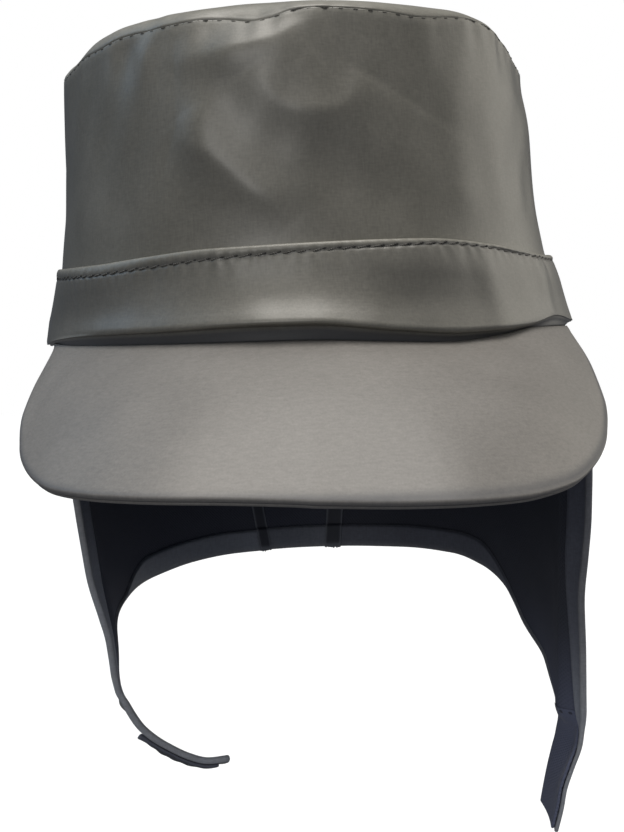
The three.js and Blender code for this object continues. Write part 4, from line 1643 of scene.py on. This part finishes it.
@dataclass
class Peak:
    """Stiff peak: a curved board covered with cloth, its two covers meeting in an edge seam."""

    form: CapForm
    wardrobe: Wardrobe
    lines: tuple[PeakLine, ...] = table(
        PeakLine, (0, 0, 157, 40.2), (13, 31, 154.5, 39.8), (24, 51, 146.5, 39.4),
        (34, 66.0, 133.5, 38.4), (43, 75.4, 116.5, 35.2), (51, 81.7, 96.5, 29.4), (58, 84.4, 77, 21.0),
        (64, 83.6, 59, 12.0), (69, 82.2, 42, 4.4),
    )
    root_line: tuple[LinePoint, ...] = table(
        LinePoint, (-69, -0.8), (-52, -1.8), (-30, -2.0), (0, -2.2), (15, -3.3), (27, -4.0), (38, -2.8),
        (50, -0.8), (69, -0.8),
    )
    edge_line: tuple[LinePoint, ...] = table(
        LinePoint, (-69, 0), (-45, 0.3), (-28, 1.0), (-12, 1.4), (-3, 0.9), (2, 0.2), (9, -0.7),
        (16, -1.1), (24, -1.4), (31, -0.9), (42, 0), (69, 0),
    )
    side_bulge: Bulge = Bulge(60.0, 9.0, 1.1)
    corners: tuple[Bulge, ...] = (Bulge(68.0, 5.0, 1.5), Bulge(-70.0, 3.6, 2.0))
    lean: float = -0.5
    lean_turns: tuple[float, float] = (22.0, 50.0)
    root_drop: float = 0.8
    root_outward: float = 0.9
    root_edge: float = 0.1
    swell: float = 3.2
    swell_full: float = 0.4
    twist: float = 0.01
    depth: float = 65.0
    corner_margin: float = 3.0
    # Painted shade along the free edge, by the dark wear tone and the grime mark
    edge_dark_reach: float = 1.5
    edge_shade: float = 0.9
    edge_shade_reach: float = 1.2
    across: int = 280
    out_rows: int = 74
    ripple: Ripple = Ripple(SEED + 5, 9, 5, 17, 60.0, 0.1)
    # The edge's third column paints shade in the groove where the two covers meet
    edge: tuple[Profile, ...] = table(
        Profile, (0.3, 0.03), (0.62, 0.12), (0.8, 0.27), (0.78, 0.4), (0.6, 0.49), (0.28, 0.53, 1.0),
        (0.26, 0.58, 1.0), (0.6, 0.63), (0.78, 0.73), (0.72, 0.86), (0.42, 0.96),
    )

    def board(self) -> Object:
        """Builds the covered board.

        Returns:
            Board.
        """
        reach = self.lines[-1].azimuth
        azimuth = np.linspace(-reach, reach, self.across + 1)
        turn = np.abs(azimuth)
        side = smooth_column(self.lines, "azimuth", "side")(turn) * np.sign(azimuth)
        side = side + self.side_bulge.at(turn) + self.lean * ramp(turn, *self.lean_turns)
        for corner in self.corners:
            side = side + corner.at(azimuth)
        forward = smooth_column(self.lines, "azimuth", "forward")(turn)
        drop = smooth_column(self.lines, "azimuth", "drop")(turn)
        free = np.stack([side, -forward, -drop], axis=-1)
        root = self.form.oval(azimuth, -self.root_drop, self.root_outward)
        rows = []
        for share in np.linspace(0.0, 1.0, self.out_rows + 1):
            point = between(root, free, share)
            swell = self.swell * math.sin(math.pi * share) * ramp(turn, reach, reach * self.swell_full)
            uneven = self.ripple.at(azimuth, self.depth * share) * math.sin(math.pi * share)
            sunk = (self.root_drop + line_height(self.root_line, azimuth)) * (1.0 - share) ** 3
            raised = line_height(self.edge_line, azimuth) * share ** 2
            point[:, 2] += swell + uneven + sunk + raised - self.twist * point[:, 0] * share
            to_corner = (reach - turn) * MM_PER_DEGREE + self.corner_margin
            to_edge = np.minimum(np.linalg.norm(free - point, axis=1), to_corner)
            u, rounding = azimuth * MM_PER_DEGREE, 1.0 if share else self.root_edge
            row = sheet_row(point, u, self.depth * share, 0.0, rounding, to_edge)
            row["depth"] = np.full(len(azimuth), PEAK_BOARD)
            # Painted shade that darkens the free edge
            row["wear"] = bell(to_edge / self.edge_dark_reach)
            row["grime"] = self.edge_shade * bell(to_edge / self.edge_shade_reach)
            row["fade"] = np.zeros(len(azimuth))
            rows.append(row)
        mesh = Sheet.from_rows(rows, False).thickened(self.edge)
        return mesh.to_object("peak_board", [self.wardrobe.peak, self.wardrobe.inner])

    def build(self) -> None:
        """Builds the peak."""
        dress(self.board(), "peak_cloth", "peak")


@dataclass(frozen=True)
class Flap:
    """Sizes of an ear flap in one piece with its chin strap."""

    side: Side
    seam: SeamLine
    edge: tuple[LinePoint, ...]
    strap: tuple[StrapPoint, ...]
    root_height: float
    hem_end: float
    front_hem: tuple[LevelShift, ...]
    # Where the painted light of the fade mark starts and is full, and its share on the inner face above the
    # strap
    fade_start: float
    fade_full: float
    inner_lit: float


@dataclass
class Curtain:
    """Neck curtain hung inside the foot of the crown: ear flaps, neck panel and seam tapes."""

    form: CapForm
    wardrobe: Wardrobe
    top: float = 9.0
    front_top: float = 60.0
    front_low: float = 67.5
    front_low_height: float = -105.0
    strap_width: float = 20.0
    neck_hem: float = -88.4
    leans: tuple[Lean, ...] = (
        Lean(Side.LEFT, 80, 20, -4, -70, -8),
        Lean(Side.LEFT, 80, 20, -55, -120, -7.6),
        Lean(Side.LEFT, 80, 6, -92, -110, 1.6),
        Lean(Side.LEFT, 80, 6, -112, -121, -1.2),
        Lean(Side.RIGHT, 86, 20, -30, -125, -4.2),
    )
    splays: dict[Side, tuple[LevelShift, ...]] = field(default_factory=lambda: {
        Side.LEFT: table(
            LevelShift, (-125, -1.8), (-118, -0.6), (-113, 0.6), (-107, 1.3), (-97, 1.3), (-89, 2.1),
            (-75, 4.0), (-45, 5.4), (-6, 0),
        ),
        Side.RIGHT: table(
            LevelShift, (-140, 8.8), (-90, 9.1), (-75, 10.3), (-60, 11.5), (-45, 11.8), (-6, 0),
        ),
    })
    splay_reach: float = 13.0
    left: Flap = Flap(
        side=Side.LEFT,
        seam=SeamLine(155, 164.9),
        edge=table(
            LinePoint, (80, -121), (84, -114), (91, -107), (101, -102.5), (111, -98.4), (120, -95.3),
            (130, -92.4), (142, -90.2), (156, -88.8), (180, -88.4),
        ),
        strap=table(
            StrapPoint, (-0.7, 0, 0, 0), (0.9, 3.2, 1.2, 3.0), (3.1, 8.0, 4.1, 6.8),
            (6.3, 12.9, 7.4, 11.5), (10.9, 17.0, 10.9, 15.5), (16.4, 20.4, 15.0, 18.8),
            (21.7, 23.1, 20.4, 21.5), (27.8, 24.9, 26.8, 23.3), (35.0, 24.4, 34.0, 23.4),
        ),
        root_height=-113,
        hem_end=112,
        front_hem=table(
            LevelShift, (-126, 8), (-119, 5.4), (-112, 4.2), (-104, 4.6), (-95, 5.6), (-84, 7.2),
            (-74, 8),
        ),
        fade_start=-45,
        fade_full=-92,
        inner_lit=0.25,
    )
    right: Flap = Flap(
        side=Side.RIGHT,
        seam=SeamLine(170, 175.6),
        edge=table(
            LinePoint, (80, -125.7), (87, -122.2), (95, -119.0), (101, -116.8), (106, -114.4),
            (111, -110.8), (116, -104.3), (120, -99.1), (125, -95.2), (130, -92.7), (140, -89.3),
            (156, -88.4), (180, -88.4),
        ),
        strap=table(
            StrapPoint, (-8.8, 0, 0, 0), (-8.0, 6.6, -1.5, 5.8), (-6.6, 13.5, -0.9, 11.6),
            (-4.2, 19.6, 0.7, 17.4), (-1.8, 26.2, 2.3, 23.2), (-0.4, 33.0, 3.8, 29.4),
            (1.5, 39.9, 5.0, 35.4),
        ),
        root_height=-124,
        hem_end=116,
        front_hem=table(
            LevelShift, (-144, 0.7), (-134, 2.6), (-124, 4.4), (-101, 6.3), (-85, 7.3), (-74, 8),
        ),
        fade_start=-92,
        fade_full=-140,
        inner_lit=1.0,
    )
    ripple: Ripple = Ripple(SEED + 6, 10, 6, 22, 80.0, 0.35)
    hem_step: float = 0.35
    panel_columns: int = 96
    panel_rows: int = 96
    hem_rows: int = 9
    strap_rows: int = 70
    least_hem: float = 0.6
    hem_run: float = 16.0
    hem_rise_run: float = 25.0
    strap_length: float = 45.0
    strap_blend: float = 0.18
    # Painted light: less of it on the strap's inner face up high, less far behind the front edge, and less
    # on the neck panel
    strap_lit_levels: tuple[float, float] = (-94.0, -110.0)
    rear_light_loss: float = 0.4
    rear_light_reach: tuple[float, float] = (30.0, 90.0)
    neck_light: float = 0.6
    tape_gap: float = 0.12
    tape_fray: float = 0.25
    tape_thin: float = 0.6
    tape_half_widths: tuple[float, float] = (2.4, 3.4)
    flat_areas: tuple[float, float] = (0.019, 0.0215)

    def lean(self, side: Side, azimuth: Array, height: Array) -> Array:
        """Lean of one side of the curtain.

        Args:
            side: Side of the cap.
            azimuth: Azimuth of each place, away from the peak.
            height: Height of each place.

        Returns:
            Shift outward along X in mm.
        """
        total = np.zeros(np.broadcast(azimuth, height).shape)
        for lean in self.leans:
            if lean.side is side:
                reach = bell((np.abs(azimuth) - lean.azimuth) / lean.across)
                total = total + lean.shift * reach * ramp(height, lean.start, lean.full)
        return total

    def splay(self, side: Side, behind: Array, height: Array) -> Array:
        """Outward turn of a flap's front edge along X, at a distance behind that edge."""
        turned = shift_at(self.splays[side], height)
        return turned * ramp(behind, self.splay_reach, -1.0)

    def point(self, side: Side, azimuth: Array, height: Array, splayed: float = 1.0) -> Array:
        """Points of the curtain's outer face on one side.

        Args:
            side: Side of the cap.
            azimuth: Azimuth of each point, away from the peak.
            height: Height of each point.
            splayed: Share of the front edge's turn.

        Returns:
            Points in mm.
        """
        azimuth, height = np.broadcast_arrays(azimuth, height)
        loose = ramp(height, -8.0, -50.0)
        sway = self.ripple.at(side.value * azimuth, height) * loose
        points = self.form.oval(side.value * azimuth, height, -CLOTH - GAP - sway)
        behind = (azimuth - self.front_azimuth(height)) * MM_PER_DEGREE
        out = self.lean(side, azimuth, height) + splayed * self.splay(side, behind, height)
        points[..., 0] += side.value * out
        return points

    def seam_azimuth(self, seam: SeamLine, height: Array) -> Array:
        """Azimuth of a back seam, which draws in towards the middle as it goes down."""
        return between(seam.top_azimuth, seam.low_azimuth, np.clip(height / self.neck_hem, 0.0, 1.0))

    def front_azimuth(self, height: Array) -> Array:
        """Azimuth of a flap's front edge."""
        return between(self.front_top, self.front_low, np.clip(height / self.front_low_height, 0.0, 1.0))

    def flap_point(self, flap: Flap, behind: Array, height: Array) -> Array:
        """Points of a flap, a distance behind its front edge."""
        return self.point(flap.side, self.front_azimuth(height) + behind / MM_PER_DEGREE, height)

    @staticmethod
    def drawn_in(flap: Flap, column: Array, height: Array, width: float) -> Array:
        """Places a strap's columns, which the front hem draws in where it is narrower than usual.

        Args:
            flap: Flap of the strap.
            column: Distance of each column behind the front edge, with a full hem.
            height: Height of each place.
            width: Width of the strap.

        Returns:
            Distance behind the front edge in mm.
        """
        hem = shift_at(flap.front_hem, height)
        beyond = hem + (column - HEM_WIDTH) * (width - hem) / (width - HEM_WIDTH)
        return np.where(column <= HEM_WIDTH, column * hem / HEM_WIDTH, beyond)

    def root(self, flap: Flap, behind: Array) -> Array:
        """Height of the strap root, a distance behind the front edge."""
        return between(flap.root_height, flap.edge[0].height, behind / self.strap_width)

    def strap_point(self, flap: Flap, behind: Array, share: float) -> Array:
        """Points of a chin strap. Above the root they lie on the flap.

        Args:
            flap: Flap of the strap.
            behind: Distance of each point behind the front edge.
            share: Share of the way down the strap.

        Returns:
            Points in mm.
        """
        height = self.root(flap, behind)
        pace = flap.strap[-1].drop
        on_flap = self.flap_point(flap, behind, height - share * pace)
        if share <= 0:
            return on_flap
        steps = len(flap.strap) - 1
        way = smooth_path([(pace * k / steps, *point) for k, point in enumerate(flap.strap)], 240)
        columns = (np.interp(pace * share, way[:, 0], way[:, k]) for k in range(1, way.shape[1]))
        inward, drop, rear_inward, rear_drop = columns
        even = 1.0 - behind / self.strap_width
        flat = between(ramp(behind, self.strap_width, 5.0), even, float(ramp(share, 0.45, 0.9)))
        splayed = ramp(behind, self.splay_reach, -1.0)
        front_share = between(splayed, flat, float(ramp(share, 0.0, 0.35)))
        points = self.point(flap.side, self.front_azimuth(height) + behind / MM_PER_DEGREE, height, 0.0)
        turned = shift_at(self.splays[flap.side], height)
        inward = inward - flap.strap[0].inward - turned
        points[..., 0] -= flap.side.value * between(rear_inward, inward, front_share)
        points[..., 2] -= between(drop, rear_drop, behind / self.strap_width)
        return between(on_flap, points, float(ramp(share, 0.0, self.strap_blend)))

    def flap_rows(self, flap: Flap) -> list[dict[str, Array]]:
        """Lays out a flap from its top to its lower edge, then its strap.

        Args:
            flap: Sizes of the flap.

        Returns:
            Rows of the sheet. Those of the strap stop at its rear edge.
        """
        hem_columns = np.linspace(0.0, HEM_WIDTH, 11)
        rear_columns = np.linspace(HEM_WIDTH + self.hem_step, self.strap_width, 15)
        strap_columns = np.concatenate([hem_columns, rear_columns])
        shares = np.linspace(0.0, 1.0, self.panel_columns + 1)[1:]
        edge_height = smooth_column(flap.edge, "azimuth", "height")
        strap_rear = self.front_azimuth(flap.edge[0].height) + self.strap_width / MM_PER_DEGREE
        low_azimuth = between(strap_rear, flap.seam.low_azimuth, shares)
        low = edge_height(low_azimuth)
        slope = (edge_height(low_azimuth + 2) - edge_height(low_azimuth - 2)) / (4 * MM_PER_DEGREE)
        width = ramp(low_azimuth, flap.hem_end, flap.hem_end + self.hem_run)
        width = between(self.least_hem, HEM_WIDTH, width)
        hem = np.concatenate([np.full(len(strap_columns), self.least_hem), width * np.hypot(1, slope)])
        root_columns = self.drawn_in(flap, strap_columns, self.root(flap, strap_columns), self.strap_width)
        ends = np.concatenate([self.root(flap, root_columns), low])
        front = np.concatenate([strap_columns <= HEM_WIDTH, np.zeros(len(shares), bool)])
        fold = ends + hem + self.hem_step
        main = [between(self.top, fold, t) for t in np.linspace(0, 1, self.panel_rows + 1)]
        folded = [ends + hem * (1 - t) for t in np.linspace(0, 1, self.hem_rows)]
        rows = []
        for index, height in enumerate(main + folded):
            strap_height, panel_height = height[: len(strap_columns)], height[len(strap_columns):]
            behind = self.drawn_in(flap, strap_columns, strap_height, self.strap_width)
            strap = self.flap_point(flap, behind, strap_height)
            rear = self.front_azimuth(panel_height) + self.strap_width / MM_PER_DEGREE
            azimuth = between(rear, self.seam_azimuth(flap.seam, panel_height), shares)
            panel = self.point(flap.side, azimuth, panel_height)
            in_hem = index >= len(main)
            hemmed = front | (in_hem & (np.arange(len(front)) >= len(strap_columns)))
            round_edge = np.full(len(front), FREE_EDGE if index else SEWN_EDGE)
            round_edge[-1] = SEWN_EDGE
            u = np.concatenate([strap_columns, self.strap_width + (azimuth - rear) * MM_PER_DEGREE])
            to_edge = np.concatenate([strap_columns, (height - ends)[len(strap_columns):]])
            rows.append(sheet_row(np.vstack([strap, panel]), u, -height, hemmed, round_edge, to_edge))
        for step in range(1, self.strap_rows + 1):
            share = step / self.strap_rows
            level = self.root(flap, root_columns) - share * flap.strap[-1].drop
            behind = self.drawn_in(flap, strap_columns, level, self.strap_width)
            points = self.strap_point(flap, behind, share)
            v = -self.root(flap, strap_columns) + share * self.strap_length
            to_edge = np.minimum(strap_columns, self.strap_width - strap_columns)
            in_front_hem = strap_columns <= HEM_WIDTH
            rows.append(sheet_row(points, strap_columns, v, in_front_hem, FREE_EDGE, to_edge))
        for row in rows:
            level = row["point"][:, 2]
            reach = row["uv"][:, 0]
            # Painted light lower down the curtain, strongest on the hems and near the front edge
            inner_lit = between(flap.inner_lit, 1.0, ramp(level, *self.strap_lit_levels))
            row["fade"] = ramp(level, flap.fade_start, flap.fade_full) * between(inner_lit, 1.0, row["hem"])
            row["fade"] *= 1.0 - self.rear_light_loss * ramp(reach, *self.rear_light_reach)
            thinned = ramp(shift_at(flap.front_hem, level), 1.0, 5.0)
            beyond = ramp(reach, self.strap_width, self.strap_width + self.hem_rise_run)
            beyond = np.where(reach > self.strap_width, beyond, 1.0)
            row["depth"] = CLOTH + HEM_CLOTH * row["hem"] * thinned * beyond
        return rows

    def flap(self, flap: Flap) -> Object:
        """Builds an ear flap with its chin strap.

        Args:
            flap: Sizes of the flap.

        Returns:
            Ear flap.
        """
        sheet = Sheet.from_rows(self.flap_rows(flap), flap.side is Side.LEFT)
        mesh = sheet.thickened(FOLDED_EDGE, Face.HEM)
        name = f"ear_flap_{flap.side.name.lower()}_cloth"
        return mesh.to_object(name, self.wardrobe.curtain())

    def neck(self) -> Object:
        """Builds the neck panel between the two back seams.

        Returns:
            Neck panel.
        """
        fold = self.neck_hem + HEM_WIDTH
        main = np.linspace(self.top, fold + self.hem_step, self.panel_rows + 1)
        heights = np.concatenate([main, np.linspace(fold, self.neck_hem, self.hem_rows)])
        margin = GAP / MM_PER_DEGREE
        share = np.linspace(0.0, 1.0, 61)
        rows = []
        for index, height in enumerate(heights):
            right = self.seam_azimuth(self.right.seam, height) + margin
            left = 360.0 - self.seam_azimuth(self.left.seam, height) - margin
            azimuth = between(right, left, share)
            points = self.point(Side.RIGHT, azimuth, height)
            round_edge = np.full(len(share), FREE_EDGE if index else SEWN_EDGE)
            round_edge[[0, -1]] = SEWN_EDGE
            u, hemmed = azimuth * MM_PER_DEGREE, float(index >= len(main))
            rows.append(sheet_row(points, u, -height, hemmed, round_edge, height - self.neck_hem))
            # Less painted light on the neck panel
            rows[-1]["fade"] *= self.neck_light
        mesh = Sheet.from_rows(rows, False).thickened(FOLDED_EDGE, Face.HEM)
        return mesh.to_object("neck_panel_cloth", self.wardrobe.curtain())

    def tape(self, flap: Flap, half_width: float) -> Object:
        """Builds the tape over a back seam, which crosses the hem and ends at its edge.

        Args:
            flap: Flap at the seam.
            half_width: Half of the tape's width in mm.

        Returns:
            Tape.
        """
        fold = self.neck_hem + HEM_WIDTH
        heights = np.concatenate([
            np.linspace(-2.0, fold + 1.2, 60),
            np.linspace(fold + 0.8, fold - 0.4, 6),
            np.linspace(fold - 0.9, self.neck_hem - 0.5, 14),
        ])
        across = np.linspace(-1.0, 1.0, 15)
        dice = np.random.default_rng(SEED + 7)
        rows = []
        for height in heights:
            on_hem = float(ramp(height, fold + 1.0, fold - 0.2))
            azimuth = self.seam_azimuth(flap.seam, height) + across * half_width / MM_PER_DEGREE
            frayed = float(height < self.neck_hem + 0.2)
            fray = self.tape_fray * dice.normal(0.0, 1.0, len(across)) * frayed
            points = self.point(flap.side, azimuth, height + fray)
            normal = self.form.level_normal(flap.side.value * azimuth, height + 0 * azimuth)
            points -= normal * (CLOTH + self.tape_gap + on_hem * HEM_CLOTH)
            row = sheet_row(points, across * half_width, -height, 0.0, TAPE_EDGE, 99.0)
            row["depth"] = np.full(len(across), TAPE_CLOTH * self.tape_thin)
            at_side = bell((np.abs(across) - 1) * half_width / 0.28)
            # Paler cut sides and frayed end of the tape, by the fade mark
            row["fade"] = bell((height - self.neck_hem) / 0.7) + 0.8 * at_side
            rows.append(row)
        mesh = Sheet.from_rows(rows, flap.side is Side.LEFT).thickened(FOLDED_EDGE)
        return mesh.to_object(f"seam_tape_{flap.side.name.lower()}_strip", [self.wardrobe.tape] * len(Face))

    def build(self) -> None:
        neck = dress(self.neck(), "curtain_cloth", "neck_panel")
        for flap, half_width, area in zip((self.left, self.right), self.tape_half_widths, self.flat_areas):
            label = flap.side.name.lower()
            cloth = dress(self.flap(flap), "curtain_cloth", f"ear_flap_{label}")
            dress(self.tape(flap, half_width), "seam_tape", f"seam_tape_{label}")


@dataclass(frozen=True)
class Patch:
    """Fastener patch on a chin strap, by its share of the strap and its place across it."""

    start: float
    end: float
    near_edge: float
    near_end: float
    far_edge: float
    start_lift: float
    taper: float


@dataclass
class Fasteners:
    """Hook and loop patches of the chin straps."""

    curtain: Curtain
    wardrobe: Wardrobe
    hook: Patch = Patch(0.41, 0.94, 0.8, 0.8, 19.0, 0.9, 0.0)
    loop: Patch = Patch(0.04, 0.985, 5.4, 0.4, 19.3, 0.0, 0.3)
    steps: int = 90
    across: int = 44
    length_share: float = 1.7
    curl_reach: float = 0.07
    thickness_share: float = 0.75

    def patch(
        self, name: str, flap: Flap, patch: Patch, lift: float, material: Material, bumps: float,
    ) -> Object:
        """Builds a patch that lies on one face of a strap.

        Args:
            name: Name of the piece.
            flap: Flap whose strap carries it.
            patch: Its place.
            lift: Height of its top over the strap's outer face.
            material: Its finish.
            bumps: Height of the uneven swells of its face.

        Returns:
            Patch as a closed piece.
        """
        across = np.linspace(0.0, 1.0, self.across + 1)
        length = flap.strap[-1].drop * self.length_share
        dice = np.random.default_rng(SEED + 8)
        phases = dice.uniform(0, 2 * math.pi, 4)
        rows = []
        for t in np.linspace(0.0, 1.0, self.steps + 1):
            near = between(patch.near_edge, patch.near_end, float(ramp(t, -0.1, 0.6)))
            behind = between(near, patch.far_edge, across)
            points = self.curtain.strap_point(flap, behind, between(patch.start, patch.end, t))
            v = length * t * (patch.end - patch.start)
            to_edge = np.minimum(behind - near, patch.far_edge - behind)
            row = sheet_row(points, behind, v, 0.0, PATCH_EDGE, to_edge)
            swell = bumps * (np.sin(v * 1.5 + phases[0]) + 0.6 * np.sin(behind * 1.7 + phases[1] + v * 0.4))
            curled = patch.start_lift * float(bell(t / self.curl_reach))
            row["lift"] = lift + swell * 0.5 + curled
            thick = PATCH_CLOTH * self.thickness_share * float(ramp(t, -0.03, patch.taper))
            row["depth"] = thick + swell * 0.5 + curled
            rows.append(row)
        mesh = Sheet.from_rows(rows, flap.side is Side.LEFT).thickened(FOLDED_EDGE)
        return mesh.to_object(name, [material] * len(Face))

    def build(self) -> None:
        """Builds both patches, the hooks over the left strap and the loops under the right one."""
        left, right = self.curtain.left, self.curtain.right
        over, under = PATCH_CLOTH * 0.8, -CLOTH - 0.25
        hooks = self.patch("hook_patch_tape", left, self.hook, over, self.wardrobe.hooks, 0.22)
        dress(hooks, "hook_tape", "hook_patch")
        loops = self.patch("loop_patch_tape", right, self.loop, under, self.wardrobe.loops, 0.12)
        dress(loops, "loop_tape", "loop_patch")


@dataclass(frozen=True)
class SkyLight:
    """Soft distant light, by the direction that it comes from."""

    name: str
    azimuth: float
    elevation: float
    strength: float
    spread: float
    colour: tuple[float, float, float]

    def build(self) -> None:
        """Adds the light."""
        data = bpy.data.lights.new(self.name, "SUN")
        data.energy = self.strength
        data.angle = math.radians(self.spread)
        data.color = self.colour
        lamp = bpy.data.objects.new(self.name, data)
        bpy.context.scene.collection.objects.link(lamp)
        across, up = math.radians(self.azimuth), math.radians(self.elevation)
        toward = Vector((math.sin(across) * math.cos(up), -math.cos(across) * math.cos(up), math.sin(up)))
        lamp.rotation_euler = toward.to_track_quat("Z", "Y").to_euler()


@dataclass
class Studio:
    """Pale floor, soft light and the camera in front of the peak."""

    eye: tuple[float, float, float] = (0.0, -500.0, 0.0)
    pitch: float = 3.31
    roll: float = 2.0
    lens: float = 62.87
    sensor: float = 36.0
    floor_height: float = -430.0
    lights: tuple[SkyLight, ...] = (
        SkyLight("overhead", 0, 82, 3.1, 45, (1.0, 0.965, 0.91)),
        SkyLight("back_left", -110, 40, 0.36, 45, (0.4, 0.68, 1.0)),
        SkyLight("back_right", 112, 14, 1.0, 55, (1.0, 0.95, 0.84)),
        SkyLight("front_left", -21, 18, 0.6, 28, (1.0, 0.985, 0.95)),
    )
    ambient: tuple[float, float, float] = (0.06, 0.071, 0.094)
    bounce: tuple[float, float, float] = (0.1, 0.105, 0.12)

    def camera(self) -> None:
        """Makes the scene's camera, tilted down a little and rolled."""
        data = bpy.data.cameras.new("camera")
        data.lens = self.lens
        data.sensor_width = self.sensor
        data.clip_start, data.clip_end = 0.01, 50.0
        camera = bpy.data.objects.new("camera", data)
        bpy.context.scene.collection.objects.link(camera)
        pitch, roll = math.radians(self.pitch), math.radians(self.roll)
        ahead = Vector((0.0, math.cos(pitch), -math.sin(pitch)))
        up = Vector((0.0, math.sin(pitch), math.cos(pitch)))
        right = Vector((1.0, 0.0, 0.0))
        turned_right = right * math.cos(roll) - up * math.sin(roll)
        turned_up = right * math.sin(roll) + up * math.cos(roll)
        axes = Matrix((turned_right, turned_up, -ahead)).transposed()
        camera.matrix_world = Matrix.Translation(Vector(self.eye) * MM) @ axes.to_4x4()
        bpy.context.scene.camera = camera

    def world(self) -> None:
        """Sets a white surround for the camera and a dim cool one for light."""
        world = bpy.data.worlds.new("studio")
        bpy.context.scene.world = world
        world.use_nodes = True
        n = Nodes(world.node_tree)
        seen = world.node_tree.nodes["Background"]
        seen.inputs["Color"].default_value = (1.0, 1.0, 1.0, 1.0)
        seen.inputs["Strength"].default_value = 1.0
        lit = n.add("ShaderNodeBackground")
        lit.inputs["Color"].default_value = (*self.ambient, 1.0)
        mix = n.add("ShaderNodeMixShader")
        n.link(n.add("ShaderNodeLightPath").outputs["Is Camera Ray"], mix.inputs[0])
        n.link(lit.outputs[0], mix.inputs[1])
        n.link(seen.outputs[0], mix.inputs[2])
        n.link(mix.outputs[0], world.node_tree.nodes["World Output"].inputs["Surface"])

    def floor(self) -> None:
        """Lays a wide pale floor below the chin straps."""
        bpy.ops.object.select_all(action="DESELECT")
        bpy.ops.mesh.primitive_plane_add(size=16.0, location=(0.0, 0.0, self.floor_height * MM))
        floor = bpy.context.object
        floor.name = "studio_floor"
        material, n, shader = new_material("pale_floor")
        cloud = n.noise(n.add("ShaderNodeTexCoord").outputs["Object"], 2.0, 2.0)
        pale = n.mix_colour(cloud, (0.94, 0.95, 0.96, 1.0), (0.97, 0.975, 0.985, 1.0))
        seen = n.add("ShaderNodeLightPath").outputs["Is Camera Ray"]
        n.link(n.mix_colour(seen, (*self.bounce, 1.0), pale), shader.inputs["Base Color"])
        shader.inputs["Roughness"].default_value = 0.9
        floor.data.materials.append(material)

    def build(self) -> None:
        """Builds the studio."""
        self.camera()
        self.world()
        self.floor()
        for light in self.lights:
            light.build()
        bpy.context.scene.view_settings.view_transform = "Standard"


def main() -> None:
    """Builds the studio and the cap."""
    logging.basicConfig(level=logging.INFO, format="%(name)s: %(message)s")
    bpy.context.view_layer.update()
    Studio().build()
    wardrobe = Wardrobe.build()
    form = CapForm()
    Crown(form, wardrobe).build()
    Band(form, wardrobe).build()
    Peak(form, wardrobe).build()
    curtain = Curtain(form, wardrobe)
    curtain.build()
    Fasteners(curtain, wardrobe).build()


if __name__ == "__main__":
    main()
